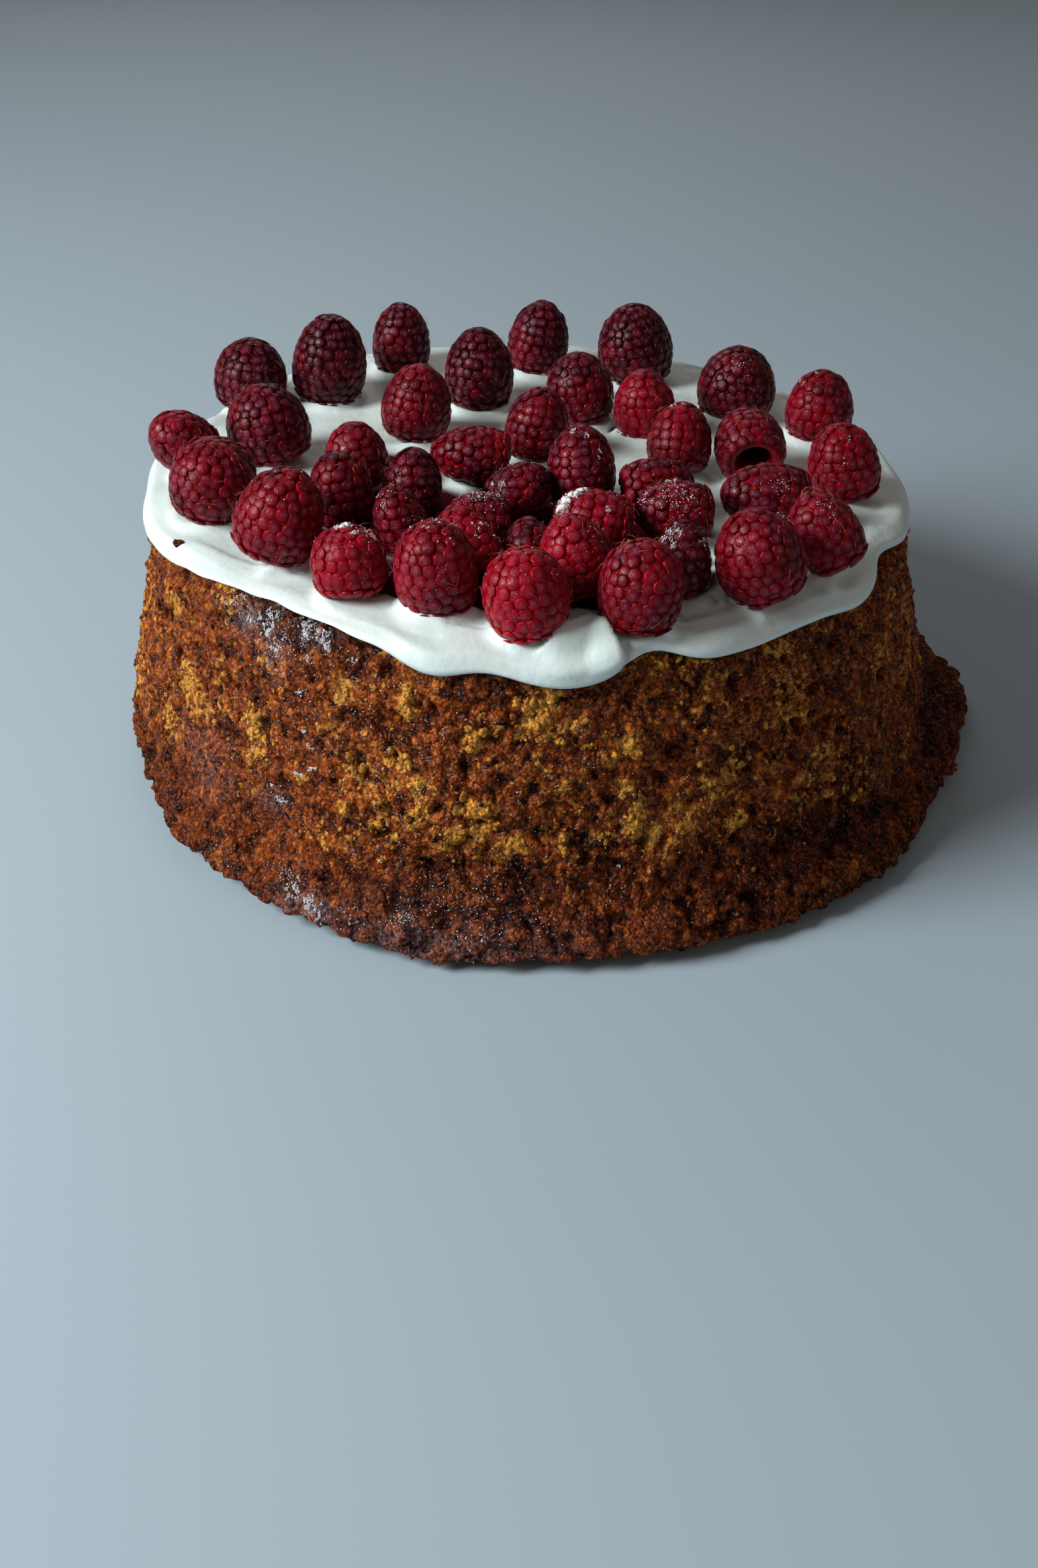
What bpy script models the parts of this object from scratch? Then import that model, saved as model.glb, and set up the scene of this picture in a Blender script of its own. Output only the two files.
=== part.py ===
"""A round carrot cake: a tapered, crusty sponge with a flared foot, a slab of cream icing, and raspberries.

Metres, +Z up. The origin is the centre of the sponge's flat underside. -Y is the front of the cake.
"""

import math

import bmesh
import bpy
import numpy as np
from mathutils import Euler, Matrix, Vector
from mathutils.bvhtree import BVHTree

MM = 0.001

# The sponge, baked in a 23 cm tin and turned out upside down.
SPONGE_HEIGHT = 71 * MM
FOOT_RADIUS = 113.5 * MM
FOOT_SHIFT = 2.5 * MM
RIM_RADIUS = 99.5 * MM
RIM_ROUNDING = 4.5 * MM
RIM_TURN = RIM_ROUNDING * math.pi / 2
RIM_SHARES = (0, 0.4, 0.75, 1)
LIP_HEIGHT = 19 * MM
LIP_RADIUS = 121 * MM
LIP_CRAG = 1.2 * MM
LIP_TILT = 0.12
WALL_CRAG = 0.7 * MM
WALL_ROWS = 9
CRAG_SEED = 7
# The lip from its top down: height as a share of LIP_HEIGHT, and how much of its way out it has come there.
LIP_STEPS = ((0.72, 0.3), (0.48, 0.78), (0.26, 1.0), (0.08, 0.96), (0.0, 0.85))
# Slow waves round the wall and the lip: how many go round, their phase in radians and their height.
WALL_WAVES = ((2, 0.7, 0.4 * MM), (5, 2.1, 0.2 * MM))
LIP_WAVES = ((7, 1.0, 0.7 * MM), (11, 2.5, 0.5 * MM), (17, 0.0, 0.35 * MM))

# Where the foot's lip stands out further or less than it does elsewhere: the azimuth and half width of each
# stretch in degrees, and how much further it comes in millimetres.
LIP_STRETCHES = (
    (12, 22, 9),
    (-165, 38, -11),
)

# The icing, spread over the sponge's top and a little over its rim.
ICING_THICKNESS = 4.4 * MM
ICING_BEAD = 6.5 * MM
ICING_GAP = 0.4 * MM
ICING_REACH = 4.4 * MM
EDGE_INSET = 0.9 * MM
PRESS_DEPTH = 1.6 * MM
PRESS_REACH = 0.6
# The palette knife's waves: how fast each turns along X and Y, in radians a metre, its phase and height.
KNIFE_WAVES = ((38, 21, 1.0, 0.5 * MM), (-25, 64, 0.4, 0.35 * MM))
# How far back from the icing's edge the rows of its skin run.
SKIN_ROWS = [back * MM for back in (72, 54, 40, 29, 20, 13, 7.5, 3.5, 1.2, 0.2)]
# Where the rows of its underside run along the sponge: on those of the sponge's rim, and on one inside them.
UNDER_ROWS = [RIM_TURN * share for share in reversed(RIM_SHARES)] + [-3 * MM]

# Where the icing's edge reaches further down the rim or stops short of it: the azimuth and half width of each
# stretch in degrees, and its extra reach along the sponge in millimetres.
ICING_STRETCHES = (
    (-161, 11, 2.0),
    (-126, 14, -4.2),
    (-102, 4.5, 2.8),
    (-85, 7.5, 3.6),
    (-73, 3.5, -3.6),
    (-62, 8, 0.9),
    (-37, 6, 1.8),
    (-25, 5, -3.4),
    (-6, 10, 0.4),
    (20, 10, 2.2),
    (48, 9, -2.4),
    (72, 10, 2.6),
    (103, 9, -2.2),
    (128, 10, 2.8),
    (155, 9, -2.6),
    (176, 8, 2.0),
)

SIDES = 96

# The berries: x and y of the middle of each, in millimetres, the azimuth that its tip leans towards and its
# lean from upright, in degrees, then its length and width in millimetres. The first 19 stand round the edge.
BERRIES = (
    (-0.5, -90, 200, 12, 19.2, 19.8),
    (-21, -79.5, 180, 6, 21, 19.5),
    (-41, -73, 120, 14, 16, 18),
    (-58.5, -56, 10, 22, 22, 21.5),
    (-78, -33, 0, 9, 19.5, 22),
    (-91, -9.5, 205, 50, 17, 16.5),
    (-70, 2.5, 170, 14, 20, 22.5),
    (-81, 43.5, 10, 6, 19, 21),
    (-57.5, 47.5, 0, 6, 24.5, 21.5),
    (-39, 70.5, 90, 4, 20, 17.5),
    (-15, 44.5, 90, 6, 22, 20),
    (2, 74, 0, 8, 21, 18.5),
    (30, 68.5, 180, 8, 22.5, 22.5),
    (58, 43, 60, 6, 19.5, 22.5),
    (80, 29, 30, 4, 19, 19),
    (80.5, -12, 170, 14, 19.5, 19),
    (69.5, -57, 160, 34, 19.5, 17),
    (53, -75.5, 180, 20, 21.2, 21.2),
    (24.5, -85.2, 20, 6, 20.2, 19.7),
    (-31, 18.5, 20, 8, 20, 19.5),
    (13, 33.5, 150, 8, 19, 19.5),
    (2, 7, 20, 8, 18.5, 17.5),
    (31, 24, 150, 6, 18, 17.5),
    (40, 0, 80, 26, 17.5, 17.5),
    (57, 0, 95, 76, 20, 19),
    (58, -34, 188, 82, 22, 17.5),
    (-45, -12.5, 190, 14, 16.5, 16.5),
    (-46.5, -35, 150, 10, 18, 16),
    (-29, -31, 60, 12, 18, 15.5),
    (-15.5, -11, 182, 84, 20.5, 16),
    (-31, -50, 160, 16, 16.5, 13.5),
    (-10, -41, 195, 80, 15.5, 13.5),
    (-5, -34, 20, 64, 15.5, 14),
    (16, -22.5, 100, 20, 20, 18),
    (16.5, -48.5, 178, 80, 18.5, 15),
    (30, -30, 10, 80, 18, 16),
    (33, -41.5, 190, 80, 18.5, 16),
    (-12.5, -61, 150, 40, 16.6, 14.2),
    (12, -73, 160, 20, 19, 17.8),
    (-2.5, -59, 90, 62, 13, 11.5),
    (37.5, -71.5, 90, 15, 17.5, 14),
)
BERRY_SIDES = 12
BERRY_RINGS = 8
BERRY_WIDEST = 0.32
BERRY_BASE_SHARE = 0.78
BERRY_TAPER = 2.2
BERRY_BLUNTNESS = 0.55
# The berries whose tips are broad and rounded, by number, and their taper.
BLUNT_BERRIES = (1, 2, 3, 5, 19, 28, 35)
BLUNT_TAPER = 2.9
DRUPELET_RELIEF = 0.13
SPIN_STEP = 2.4
# A berry that leans by more than this lies with its open end showing: how deep the hole is, as a share of the
# length, and how far out its rim's crowns and hollows stand, as shares of the half width.
CORE_LEAN = 55
CORE_DEPTH_SHARE = 0.45
CORE_RIM_CROWNS = 0.54
CORE_RIM_HOLLOWS = 0.42
BERRY_GAP = 0.45 * MM
REST_GAP = 0.35 * MM
BERRY_REACH = 101 * MM
# Where the rings of points run that stand for a berry while berries are kept apart, as shares of its length.
OUTLINE_RINGS = (0.0, 0.08, 0.2, 0.32, 0.45, 0.6, 0.74, 0.86, 0.95, 1.0)
OUTLINE_SIDES = 16
SETTLING_STEPS = 400
SETTLING_EASE = 0.5
PROBE_HEIGHT = 50 * MM

COLOURS = {
    "sponge": ((0.19, 0.062, 0.014, 1), 0.75),
    "icing": ((0.86, 0.88, 0.82, 1), 0.35),
    "raspberry": ((0.30, 0.006, 0.02, 1), 0.4),
}


def clear_scene():
    for obj in list(bpy.data.objects):
        bpy.data.objects.remove(obj)


def new_collection(name):
    collection = bpy.data.collections.new(name)
    bpy.context.scene.collection.children.link(collection)
    return collection


def material(name):
    colour, roughness = COLOURS[name]
    made = bpy.data.materials.get(name) or bpy.data.materials.new(name)
    made.use_nodes = True
    shader = made.node_tree.nodes["Principled BSDF"]
    shader.inputs["Base Color"].default_value = colour
    shader.inputs["Roughness"].default_value = roughness
    shader.inputs["Metallic"].default_value = 0
    return made


def add_object(name, mesh, finish, collection):
    obj = bpy.data.objects.new(name, mesh)
    collection.objects.link(obj)
    mesh.materials.clear()
    mesh.materials.append(material(finish))
    mesh.shade_smooth()
    return obj


def stretches_at(angle, stretches):
    """What the stretches, rows of (azimuth, half width, amount), add at an angle. Each fades either way."""
    total = 0
    for azimuth, half_width, amount in stretches:
        apart = (math.degrees(angle) - azimuth + 180) % 360 - 180
        total += amount * MM * math.exp(-((apart / half_width) ** 2))
    return total


def waves_at(angle, waves):
    """The sum of waves round the cake, rows of (how many, phase, height), at an angle."""
    return sum(height * math.sin(count * angle + phase) for count, phase, height in waves)


def turned_mesh(name, profile, place):
    """The profile, rows of (radius, height) with their ends on the axis, turned round Z by a Screw modifier.
    Each vertex then goes to the (radius, height) that place(row, segment, angle) gives for it."""
    line = bpy.data.meshes.new(name + "_profile")
    line.from_pydata([(r, 0, z) for r, z in profile], [(i, i + 1) for i in range(len(profile) - 1)], [])
    guide = bpy.data.objects.new(name + "_guide", line)
    bpy.context.scene.collection.objects.link(guide)
    screw = guide.modifiers.new("turn", "SCREW")
    screw.steps = screw.render_steps = SIDES
    screw.use_merge_vertices = True
    screw.merge_threshold = 1e-5
    graph = bpy.context.evaluated_depsgraph_get()
    mesh = bpy.data.meshes.new_from_object(guide.evaluated_get(graph))
    mesh.name = name
    bpy.data.objects.remove(guide)
    rows = np.array(profile)
    for vertex in mesh.vertices:
        x, y, z = vertex.co
        radius = math.hypot(x, y)
        row = int(np.hypot(rows[:, 0] - radius, rows[:, 1] - z).argmin())
        angle = math.atan2(y, x)
        segment = round(angle / math.tau * SIDES) % SIDES
        radius, height = place(row, segment, angle)
        vertex.co = (radius * math.cos(angle), radius * math.sin(angle), height)
    return mesh


def wall_radius(height):
    """The wall's taper from the rounded rim down to the foot, without the lip."""
    return FOOT_RADIUS + (RIM_RADIUS - FOOT_RADIUS) * height / (SPONGE_HEIGHT - RIM_ROUNDING)


def wall_sway(angle, height):
    """How far the baked wall strays from a true cone: it is wavy, and its foot stands a little to +X."""
    return waves_at(angle, WALL_WAVES) + FOOT_SHIFT * math.cos(angle) * (1 - height / SPONGE_HEIGHT)


def lip_radius(angle):
    """The flared foot stands out furthest on one side and hardly at all on the other."""
    return LIP_RADIUS + stretches_at(angle, LIP_STRETCHES) + waves_at(angle, LIP_WAVES)


def surface_point(along):
    """(radius, height) and outward normal of the sponge at a length along its surface, measured from where
    its flat top turns into the rounded rim: less than 0 is on the top, past the rounding is on the wall."""
    corner = RIM_RADIUS - RIM_ROUNDING
    if along <= 0:
        return (corner + along, SPONGE_HEIGHT), (0.0, 1.0)
    if along < RIM_TURN:
        bend = along / RIM_ROUNDING
        out, up = math.sin(bend), math.cos(bend)
        height = SPONGE_HEIGHT - RIM_ROUNDING * (1 - up)
        return (corner + RIM_ROUNDING * out, height), (out, up)
    height = SPONGE_HEIGHT - RIM_ROUNDING - (along - RIM_TURN)
    return (wall_radius(height), height), (1.0, 0.0)


def build_sponge(collection):
    """The turned wall and lip, with every vertex of the crust moved by its own crag."""
    rim = [surface_point(RIM_TURN * share)[0] for share in RIM_SHARES]
    wall_top = SPONGE_HEIGHT - RIM_ROUNDING
    heights = [wall_top + (LIP_HEIGHT - wall_top) * i / WALL_ROWS for i in range(1, WALL_ROWS + 1)]
    wall = [(wall_radius(height), height) for height in heights]
    flare = LIP_RADIUS - FOOT_RADIUS
    lip = [(wall_radius(share * LIP_HEIGHT) + out * flare, share * LIP_HEIGHT) for share, out in LIP_STEPS]
    profile = [(0, SPONGE_HEIGHT)] + rim + wall + lip + [(0, 0)]
    first_wall = 1 + len(rim)
    first_lip = first_wall + len(wall)
    last = len(profile) - 1
    crags = np.random.default_rng(CRAG_SEED).uniform(-1, 1, (len(profile), SIDES))

    def place_crust(row, segment, angle):
        radius, height = profile[row]
        crag = crags[row, segment]
        if row < first_wall + 2:
            # Under the icing and just below it the crust is only pitted, so that the icing lies clear of it.
            crag = min(crag, 0) / 2
        return radius + wall_sway(angle, height) + WALL_CRAG * crag, height

    def place_lip(row, segment, angle):
        share, out = LIP_STEPS[row - first_lip]
        height = share * LIP_HEIGHT
        base = wall_radius(height) + wall_sway(angle, height)
        radius = base + out * (lip_radius(angle) - base) + LIP_CRAG * crags[row, segment]
        return radius, height * (1 + LIP_TILT * crags[row, segment - 1])

    def place(row, segment, angle):
        if row in (0, last):
            return profile[row]
        return place_crust(row, segment, angle) if row < first_lip else place_lip(row, segment, angle)

    return add_object("sponge", turned_mesh("sponge", profile, place), "sponge", collection)


def berry_profile(share, taper):
    """Half width of a raspberry, as a share of its greatest, at a share of its length from base to tip."""
    to_base = np.clip((BERRY_WIDEST - share) / BERRY_WIDEST, 0, 1)
    to_tip = np.clip((share - BERRY_WIDEST) / (1 - BERRY_WIDEST), 0, 1)
    return (1 - (1 - BERRY_BASE_SHARE) * to_base ** 2) * (1 - to_tip ** taper) ** BERRY_BLUNTNESS


def berry_turn(heading, lean):
    """Turns a berry that stands on its base so that its tip leans towards the heading, both in degrees."""
    return Matrix.Rotation(math.radians(heading), 3, "Z") @ Euler((0, math.radians(lean), 0)).to_matrix()


def berry_mesh(name, length, width, taper, spin, hollow):
    """A raspberry about its middle, tip up: a UV sphere drawn out to the berry's outline, with every other
    vertex a drupelet's crown and the ones between sunk. A hollow one shows the hole that its core left."""
    mesh = bpy.data.meshes.new(name)
    form = bmesh.new()
    bmesh.ops.create_uvsphere(form, u_segments=BERRY_SIDES, v_segments=BERRY_RINGS, radius=1)
    sunk = set()
    for vertex in form.verts:
        x, y, z = vertex.co
        share = (1 + z) / 2
        at_pole = math.hypot(x, y) < 1e-4
        ring = round(math.acos(max(-1, min(1, z))) / math.pi * BERRY_RINGS)
        angle = math.atan2(y, x)
        side = round(angle / math.tau * BERRY_SIDES)
        low = (ring + side) % 2 == 1 and not at_pole
        if low:
            sunk.add(vertex)
        radius = 0 if at_pole else width / 2 * berry_profile(share, taper) * (1 - DRUPELET_RELIEF * low)
        height = length * (share - 0.5)
        if hollow and at_pole and z < 0:
            height += CORE_DEPTH_SHARE * length
        if hollow and ring == BERRY_RINGS - 1:
            radius = width / 2 * (CORE_RIM_HOLLOWS if low else CORE_RIM_CROWNS)
            height = -length / 2
        vertex.co = (radius * math.cos(angle + spin), radius * math.sin(angle + spin), height)
    for face in list(form.faces):
        low = [vertex for vertex in face.verts if vertex in sunk]
        if len(face.verts) == 4 and len(low) == 2:
            bmesh.utils.face_split(face, low[0], low[1])
    form.to_mesh(mesh)
    form.free()
    return mesh


class Berry:
    """One raspberry: where its middle is, how it leans, and its size."""

    def __init__(self, number, x, y, heading, lean, length, width):
        self.name = f"raspberry_{number:02d}"
        self.length, self.width = length * MM, width * MM
        self.turn = berry_turn(heading, lean)
        self.hollow = lean > CORE_LEAN
        self.taper = BLUNT_TAPER if number in BLUNT_BERRIES else BERRY_TAPER
        self.spin = number * SPIN_STEP
        low = self.outline_about_middle()[:, 2].min()
        self.middle = Vector((x * MM, y * MM, SPONGE_HEIGHT + ICING_THICKNESS - low))

    def outline_about_middle(self):
        shares = np.array(OUTLINE_RINGS)[:, None]
        angles = np.arange(OUTLINE_SIDES)[None] / OUTLINE_SIDES * math.tau
        radii = self.width / 2 * berry_profile(shares, self.taper)
        heights = (shares - 0.5) * self.length + 0 * angles
        points = np.stack([radii * np.cos(angles), radii * np.sin(angles), heights], -1)
        return points.reshape(-1, 3) @ np.array(self.turn).T

    def outline(self):
        return np.array(self.middle) + self.outline_about_middle()

    def deepest(self, points):
        """How far the deepest of the points reaches into the berry or into the gap that it keeps."""
        own = (points - np.array(self.middle)) @ np.array(self.turn)
        half_widths = self.width / 2 * berry_profile(own[:, 2] / self.length + 0.5, self.taper)
        aside = half_widths - np.hypot(own[:, 0], own[:, 1])
        along = self.length / 2 - np.abs(own[:, 2])
        return max(np.minimum(aside, along).max() + BERRY_GAP, 0)


def nudge_apart(first, second):
    """Moves two berries level and apart, if either reaches into the other's gap; says whether it did."""
    level = (second.middle - first.middle).to_2d()
    if level.length > first.length + second.length:
        return False
    bite = max(first.deepest(second.outline()), second.deepest(first.outline()))
    way = level.normalized().to_3d() * (bite / 2)
    first.middle -= way
    second.middle += way
    return bite > 0


def keep_on_icing(berry):
    """Moves a berry inwards until none of it hangs past the icing's edge."""
    past = np.linalg.norm(berry.outline()[:, :2], axis=1).max() - BERRY_REACH
    if past > 0:
        berry.middle -= berry.middle.to_2d().normalized().to_3d() * past * SETTLING_EASE


def settled_berries():
    """The berries as they were set down, with any that touched eased apart until none does."""
    berries = [Berry(number, *row) for number, row in enumerate(BERRIES, 1)]
    for _ in range(SETTLING_STEPS):
        moved = [nudge_apart(a, b) for i, a in enumerate(berries) for b in berries[i + 1:]]
        for berry in berries:
            keep_on_icing(berry)
        if not any(moved):
            break
    return berries


def icing_reach(angle):
    """How far the icing's edge comes along the sponge's surface, from where the rim begins to round."""
    return ICING_REACH + stretches_at(angle, ICING_STRETCHES)


def icing_level(x, y, berries):
    """The icing's thickness at a place: slow waves from the palette knife, pressed down under each berry."""
    here = Vector((x, y))
    waves = (height * math.sin(by_x * x + by_y * y + phase) for by_x, by_y, phase, height in KNIFE_WAVES)
    nearness = ((here - berry.middle.to_2d()).length / (PRESS_REACH * berry.width) for berry in berries)
    return ICING_THICKNESS + sum(waves) - PRESS_DEPTH * math.exp(-min(nearness) ** 2)


def build_icing(collection, berries):
    """A turned slab with a beaded edge that wanders along the sponge's rim, its top waved and pressed."""

    def skin(back, angle):
        (radius, height), (out, up) = surface_point(icing_reach(angle) - back)
        share = min(back / ICING_BEAD, 1)
        level = icing_level(radius * math.cos(angle), radius * math.sin(angle), berries)
        thickness = level * math.sqrt(1 - (1 - share) ** 2) + ICING_GAP
        return radius + wall_sway(angle, height) + out * thickness, height + up * thickness

    def underside(number, angle):
        # Where the icing stops short of the rim's rows, the rows bunch up just inside its edge.
        inside_edge = icing_reach(angle) - EDGE_INSET * (1 + number / 2)
        (radius, height), (out, up) = surface_point(min(UNDER_ROWS[number], inside_edge))
        return radius + wall_sway(angle, height) + out * ICING_GAP, height + up * ICING_GAP

    def place(row, segment, angle):
        if row == 0:
            return 0, SPONGE_HEIGHT + ICING_GAP + icing_level(0, 0, berries)
        if row <= len(SKIN_ROWS):
            return skin(SKIN_ROWS[row - 1], angle)
        if row <= len(SKIN_ROWS) + len(UNDER_ROWS):
            return underside(row - 1 - len(SKIN_ROWS), angle)
        return 0, SPONGE_HEIGHT + ICING_GAP

    profile = [place(row, 0, 0) for row in range(len(SKIN_ROWS) + len(UNDER_ROWS) + 2)]
    return add_object("icing", turned_mesh("icing", profile, place), "icing", collection)


def rest_on(obj, tree):
    """Lowers or lifts a berry until it lies its rest gap above what is under it."""
    down = Vector((0, 0, -1))
    drop = []
    for vertex in obj.data.vertices:
        point = obj.matrix_world @ vertex.co
        hit, *_ = tree.ray_cast(point + Vector((0, 0, PROBE_HEIGHT)), down)
        if hit:
            drop.append(point.z - hit.z)
    obj.location.z -= min(drop) - REST_GAP
    bpy.context.view_layer.update()


def build_berries(collection, berries, icing):
    graph = bpy.context.evaluated_depsgraph_get()
    tree = BVHTree.FromObject(icing, graph)
    for berry in berries:
        mesh = berry_mesh(berry.name, berry.length, berry.width, berry.taper, berry.spin, berry.hollow)
        obj = add_object(berry.name, mesh, "raspberry", collection)
        obj.rotation_euler = berry.turn.to_euler()
        obj.location = berry.middle
        bpy.context.view_layer.update()
        rest_on(obj, tree)


def main():
    clear_scene()
    cake = new_collection("carrot_cake")
    build_sponge(cake)
    berries = settled_berries()
    icing = build_icing(cake, berries)
    build_berries(cake, berries, icing)


main()
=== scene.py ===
"""The looks of a round carrot cake with raspberries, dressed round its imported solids.

Each detailed piece stands where the solid that it replaces is: the crumbly sponge, the icing and every
raspberry. Crumbs, fine hairs and icing sugar are added to them. Lengths are in metres, and -Y is the front.
"""

import math

import bpy
import numpy as np
from mathutils import Euler, Matrix, Vector
from mathutils.bvhtree import BVHTree


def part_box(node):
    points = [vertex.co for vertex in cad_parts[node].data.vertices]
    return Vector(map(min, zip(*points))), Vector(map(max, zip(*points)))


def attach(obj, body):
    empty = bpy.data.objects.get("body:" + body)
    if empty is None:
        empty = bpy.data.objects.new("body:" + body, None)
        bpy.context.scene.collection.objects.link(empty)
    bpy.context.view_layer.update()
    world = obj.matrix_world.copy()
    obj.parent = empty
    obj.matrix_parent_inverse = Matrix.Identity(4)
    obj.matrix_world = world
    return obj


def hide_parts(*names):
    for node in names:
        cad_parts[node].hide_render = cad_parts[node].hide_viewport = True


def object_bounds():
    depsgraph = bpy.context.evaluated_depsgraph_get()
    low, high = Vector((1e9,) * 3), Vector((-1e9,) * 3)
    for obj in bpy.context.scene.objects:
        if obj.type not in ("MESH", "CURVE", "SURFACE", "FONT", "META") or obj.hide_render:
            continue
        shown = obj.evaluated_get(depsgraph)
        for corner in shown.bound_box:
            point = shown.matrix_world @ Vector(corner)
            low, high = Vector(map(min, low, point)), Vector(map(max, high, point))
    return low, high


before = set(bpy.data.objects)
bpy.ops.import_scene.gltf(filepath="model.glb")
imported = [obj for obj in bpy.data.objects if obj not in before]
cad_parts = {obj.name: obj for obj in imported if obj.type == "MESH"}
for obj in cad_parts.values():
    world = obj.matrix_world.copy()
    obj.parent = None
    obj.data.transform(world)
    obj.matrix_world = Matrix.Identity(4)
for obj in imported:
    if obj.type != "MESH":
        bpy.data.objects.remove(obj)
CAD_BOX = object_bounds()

MM = 0.001

# The camera that took the photograph: its place, where it looks and its focal length in picture heights.
CAMERA_PLACE = (0, -0.4437, 0.2668)
CAMERA_YAW, CAMERA_PITCH, CAMERA_ROLL = math.radians(-0.082), math.radians(33.35), math.radians(1.483)
FOCAL_SHARE = 2700 / 2369
SENSOR = 36

# The room: the lights, each with its place, diameter, power and tint, where they point, the floor, and the
# faint light from all round.
LIGHTS = (
    ("key", (-0.85, -0.35, 0.62), 0.55, 13.8, (1.0, 0.985, 0.965)),
    ("fill", (0.9, -0.9, 0.7), 0.9, 0.95, (1.0, 0.78, 0.64)),
    ("back", (-0.2, 1.0, 0.7), 0.7, 1.1, (1.0, 0.94, 0.92)),
)
LIGHTS_AIM = Vector((0, 0, 0.05))
FLOOR_HALF, FLOOR_LEVEL, FLOOR_TINT = 4, -0.00005, (0.43, 0.56, 0.65)
ROOM_TINT, ROOM_STRENGTH = (1.0, 0.88, 0.82), 0.115

# How far off a line starts that looks for a surface from outside or from above, and the way down.
FAR = 0.2
DOWN = Vector((0, 0, -1))

# The middle of the sponge: its crust is found by looking outwards from here.
HEART = Vector((0, 0, 35 * MM))
SPONGE_COLUMNS = 832
CRUST_STEP = 0.85 * MM
# The wall's radius at its foot, how much it narrows for each metre of height, and its usual radius.
WALL_FOOT = 113.5 * MM
WALL_TAPER = 0.197
WALL_RADIUS = 110 * MM
# The rows of points over the crust's hidden top and underside.
TOP_ROWS, UNDER_ROWS = 6, 5
# Under the icing the crust is coarse, smooth and without crumbs: the radius up to which it is each of these.
COARSE_WITHIN, SMOOTH_WITHIN, BARE_WITHIN = 88 * MM, 86 * MM, 93 * MM
# The crust's relief, in millimetres: the size of its grains, small grains, pits and lumps, how far each
# stands out or sinks in, then how far cracks, pale crumb, the foot's roughness and the whole do.
GRAIN_SIZE, SMALL_SIZE, PIT_SIZE, LUMP_SIZE = 4.4, 2.1, 6.0, 9.0
GRAIN_RISE, SMALL_RISE, PIT_FALL, LUMP_RISE = 1.5, 0.9, 1.5, 0.6
CRACK_FALL, PALE_RISE, FOOT_ROUGHNESS, WHOLE_FALL = 1.0, 0.5, 0.7, 1.3
# How much pale crumb shows outside the patches and how much that varies, and how darkly spots and the foot
# are baked, from 0 to 1.
PALE_SHARE, PALE_SPREAD, SPOT_SCORCH, FOOT_SCORCH = 0.26, 0.28, 0.35, 0.42
# The crumbs on the crust: name, how many, whether only where pale crumb shows, the share of brown ones, their
# least and greatest size in millimetres, how often their faces are split, and the seed of their draws.
CRUMB_KINDS = (
    ("small_crumbs", 4600, False, 0.3, (0.25, 0.7), 0, 17),
    ("pale_crumbs", 1250, True, 0.1, (0.4, 1.15), 1, 18),
    ("brown_crumbs", 950, False, 0.9, (0.4, 1.3), 1, 19),
)

ICING_COLUMNS = 640
ICING_STEP = 0.95 * MM
# The icing's edge lies beyond this radius, is read from the solid at so many places and keeps so many waves.
EDGE_BEYOND = 80 * MM
EDGE_PLACES = 96
EDGE_WAVES = 40
# The bead along the edge: its width, its rows of points and how far it bulges.
BEAD = 6.5 * MM
BEAD_ROWS = 16
BEAD_BULGE = 0.6 * MM
# How the edge turns under, as places outwards and upwards of it in millimetres, and how the lift fades there.
EDGE_TUCK = ((-0.5, -0.3), (-1.4, 0), (-2.6, 0.6))
EDGE_FADE = (0.9, 0.7, 0.5, 0.3, 0.15, 0, 0, 0)
# The left side's thin and ragged edge: where it begins, is full, is no longer full and ends, in degrees.
THIN_EDGE = (188, 204, 240, 256)
# How high the icing climbs at a berry and how far from it, and how far it sinks between heaped berries, in
# millimetres.
CLIMB, CLIMB_REACH, HEAP_SINK = 2.7, 1.6, 0.8
# Where the berries are heaped, so that the icing between them is darkened by berry juice and painted shade:
# the x and y of each heap's middle, and how far it reaches along x and y, in millimetres.
HEAPS = (
    (-34, -24, 23, 34),
    (-2, -59, 47, 21),
    (15, -36, 30, 18),
    (-12, -14, 20, 15),
)
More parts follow.
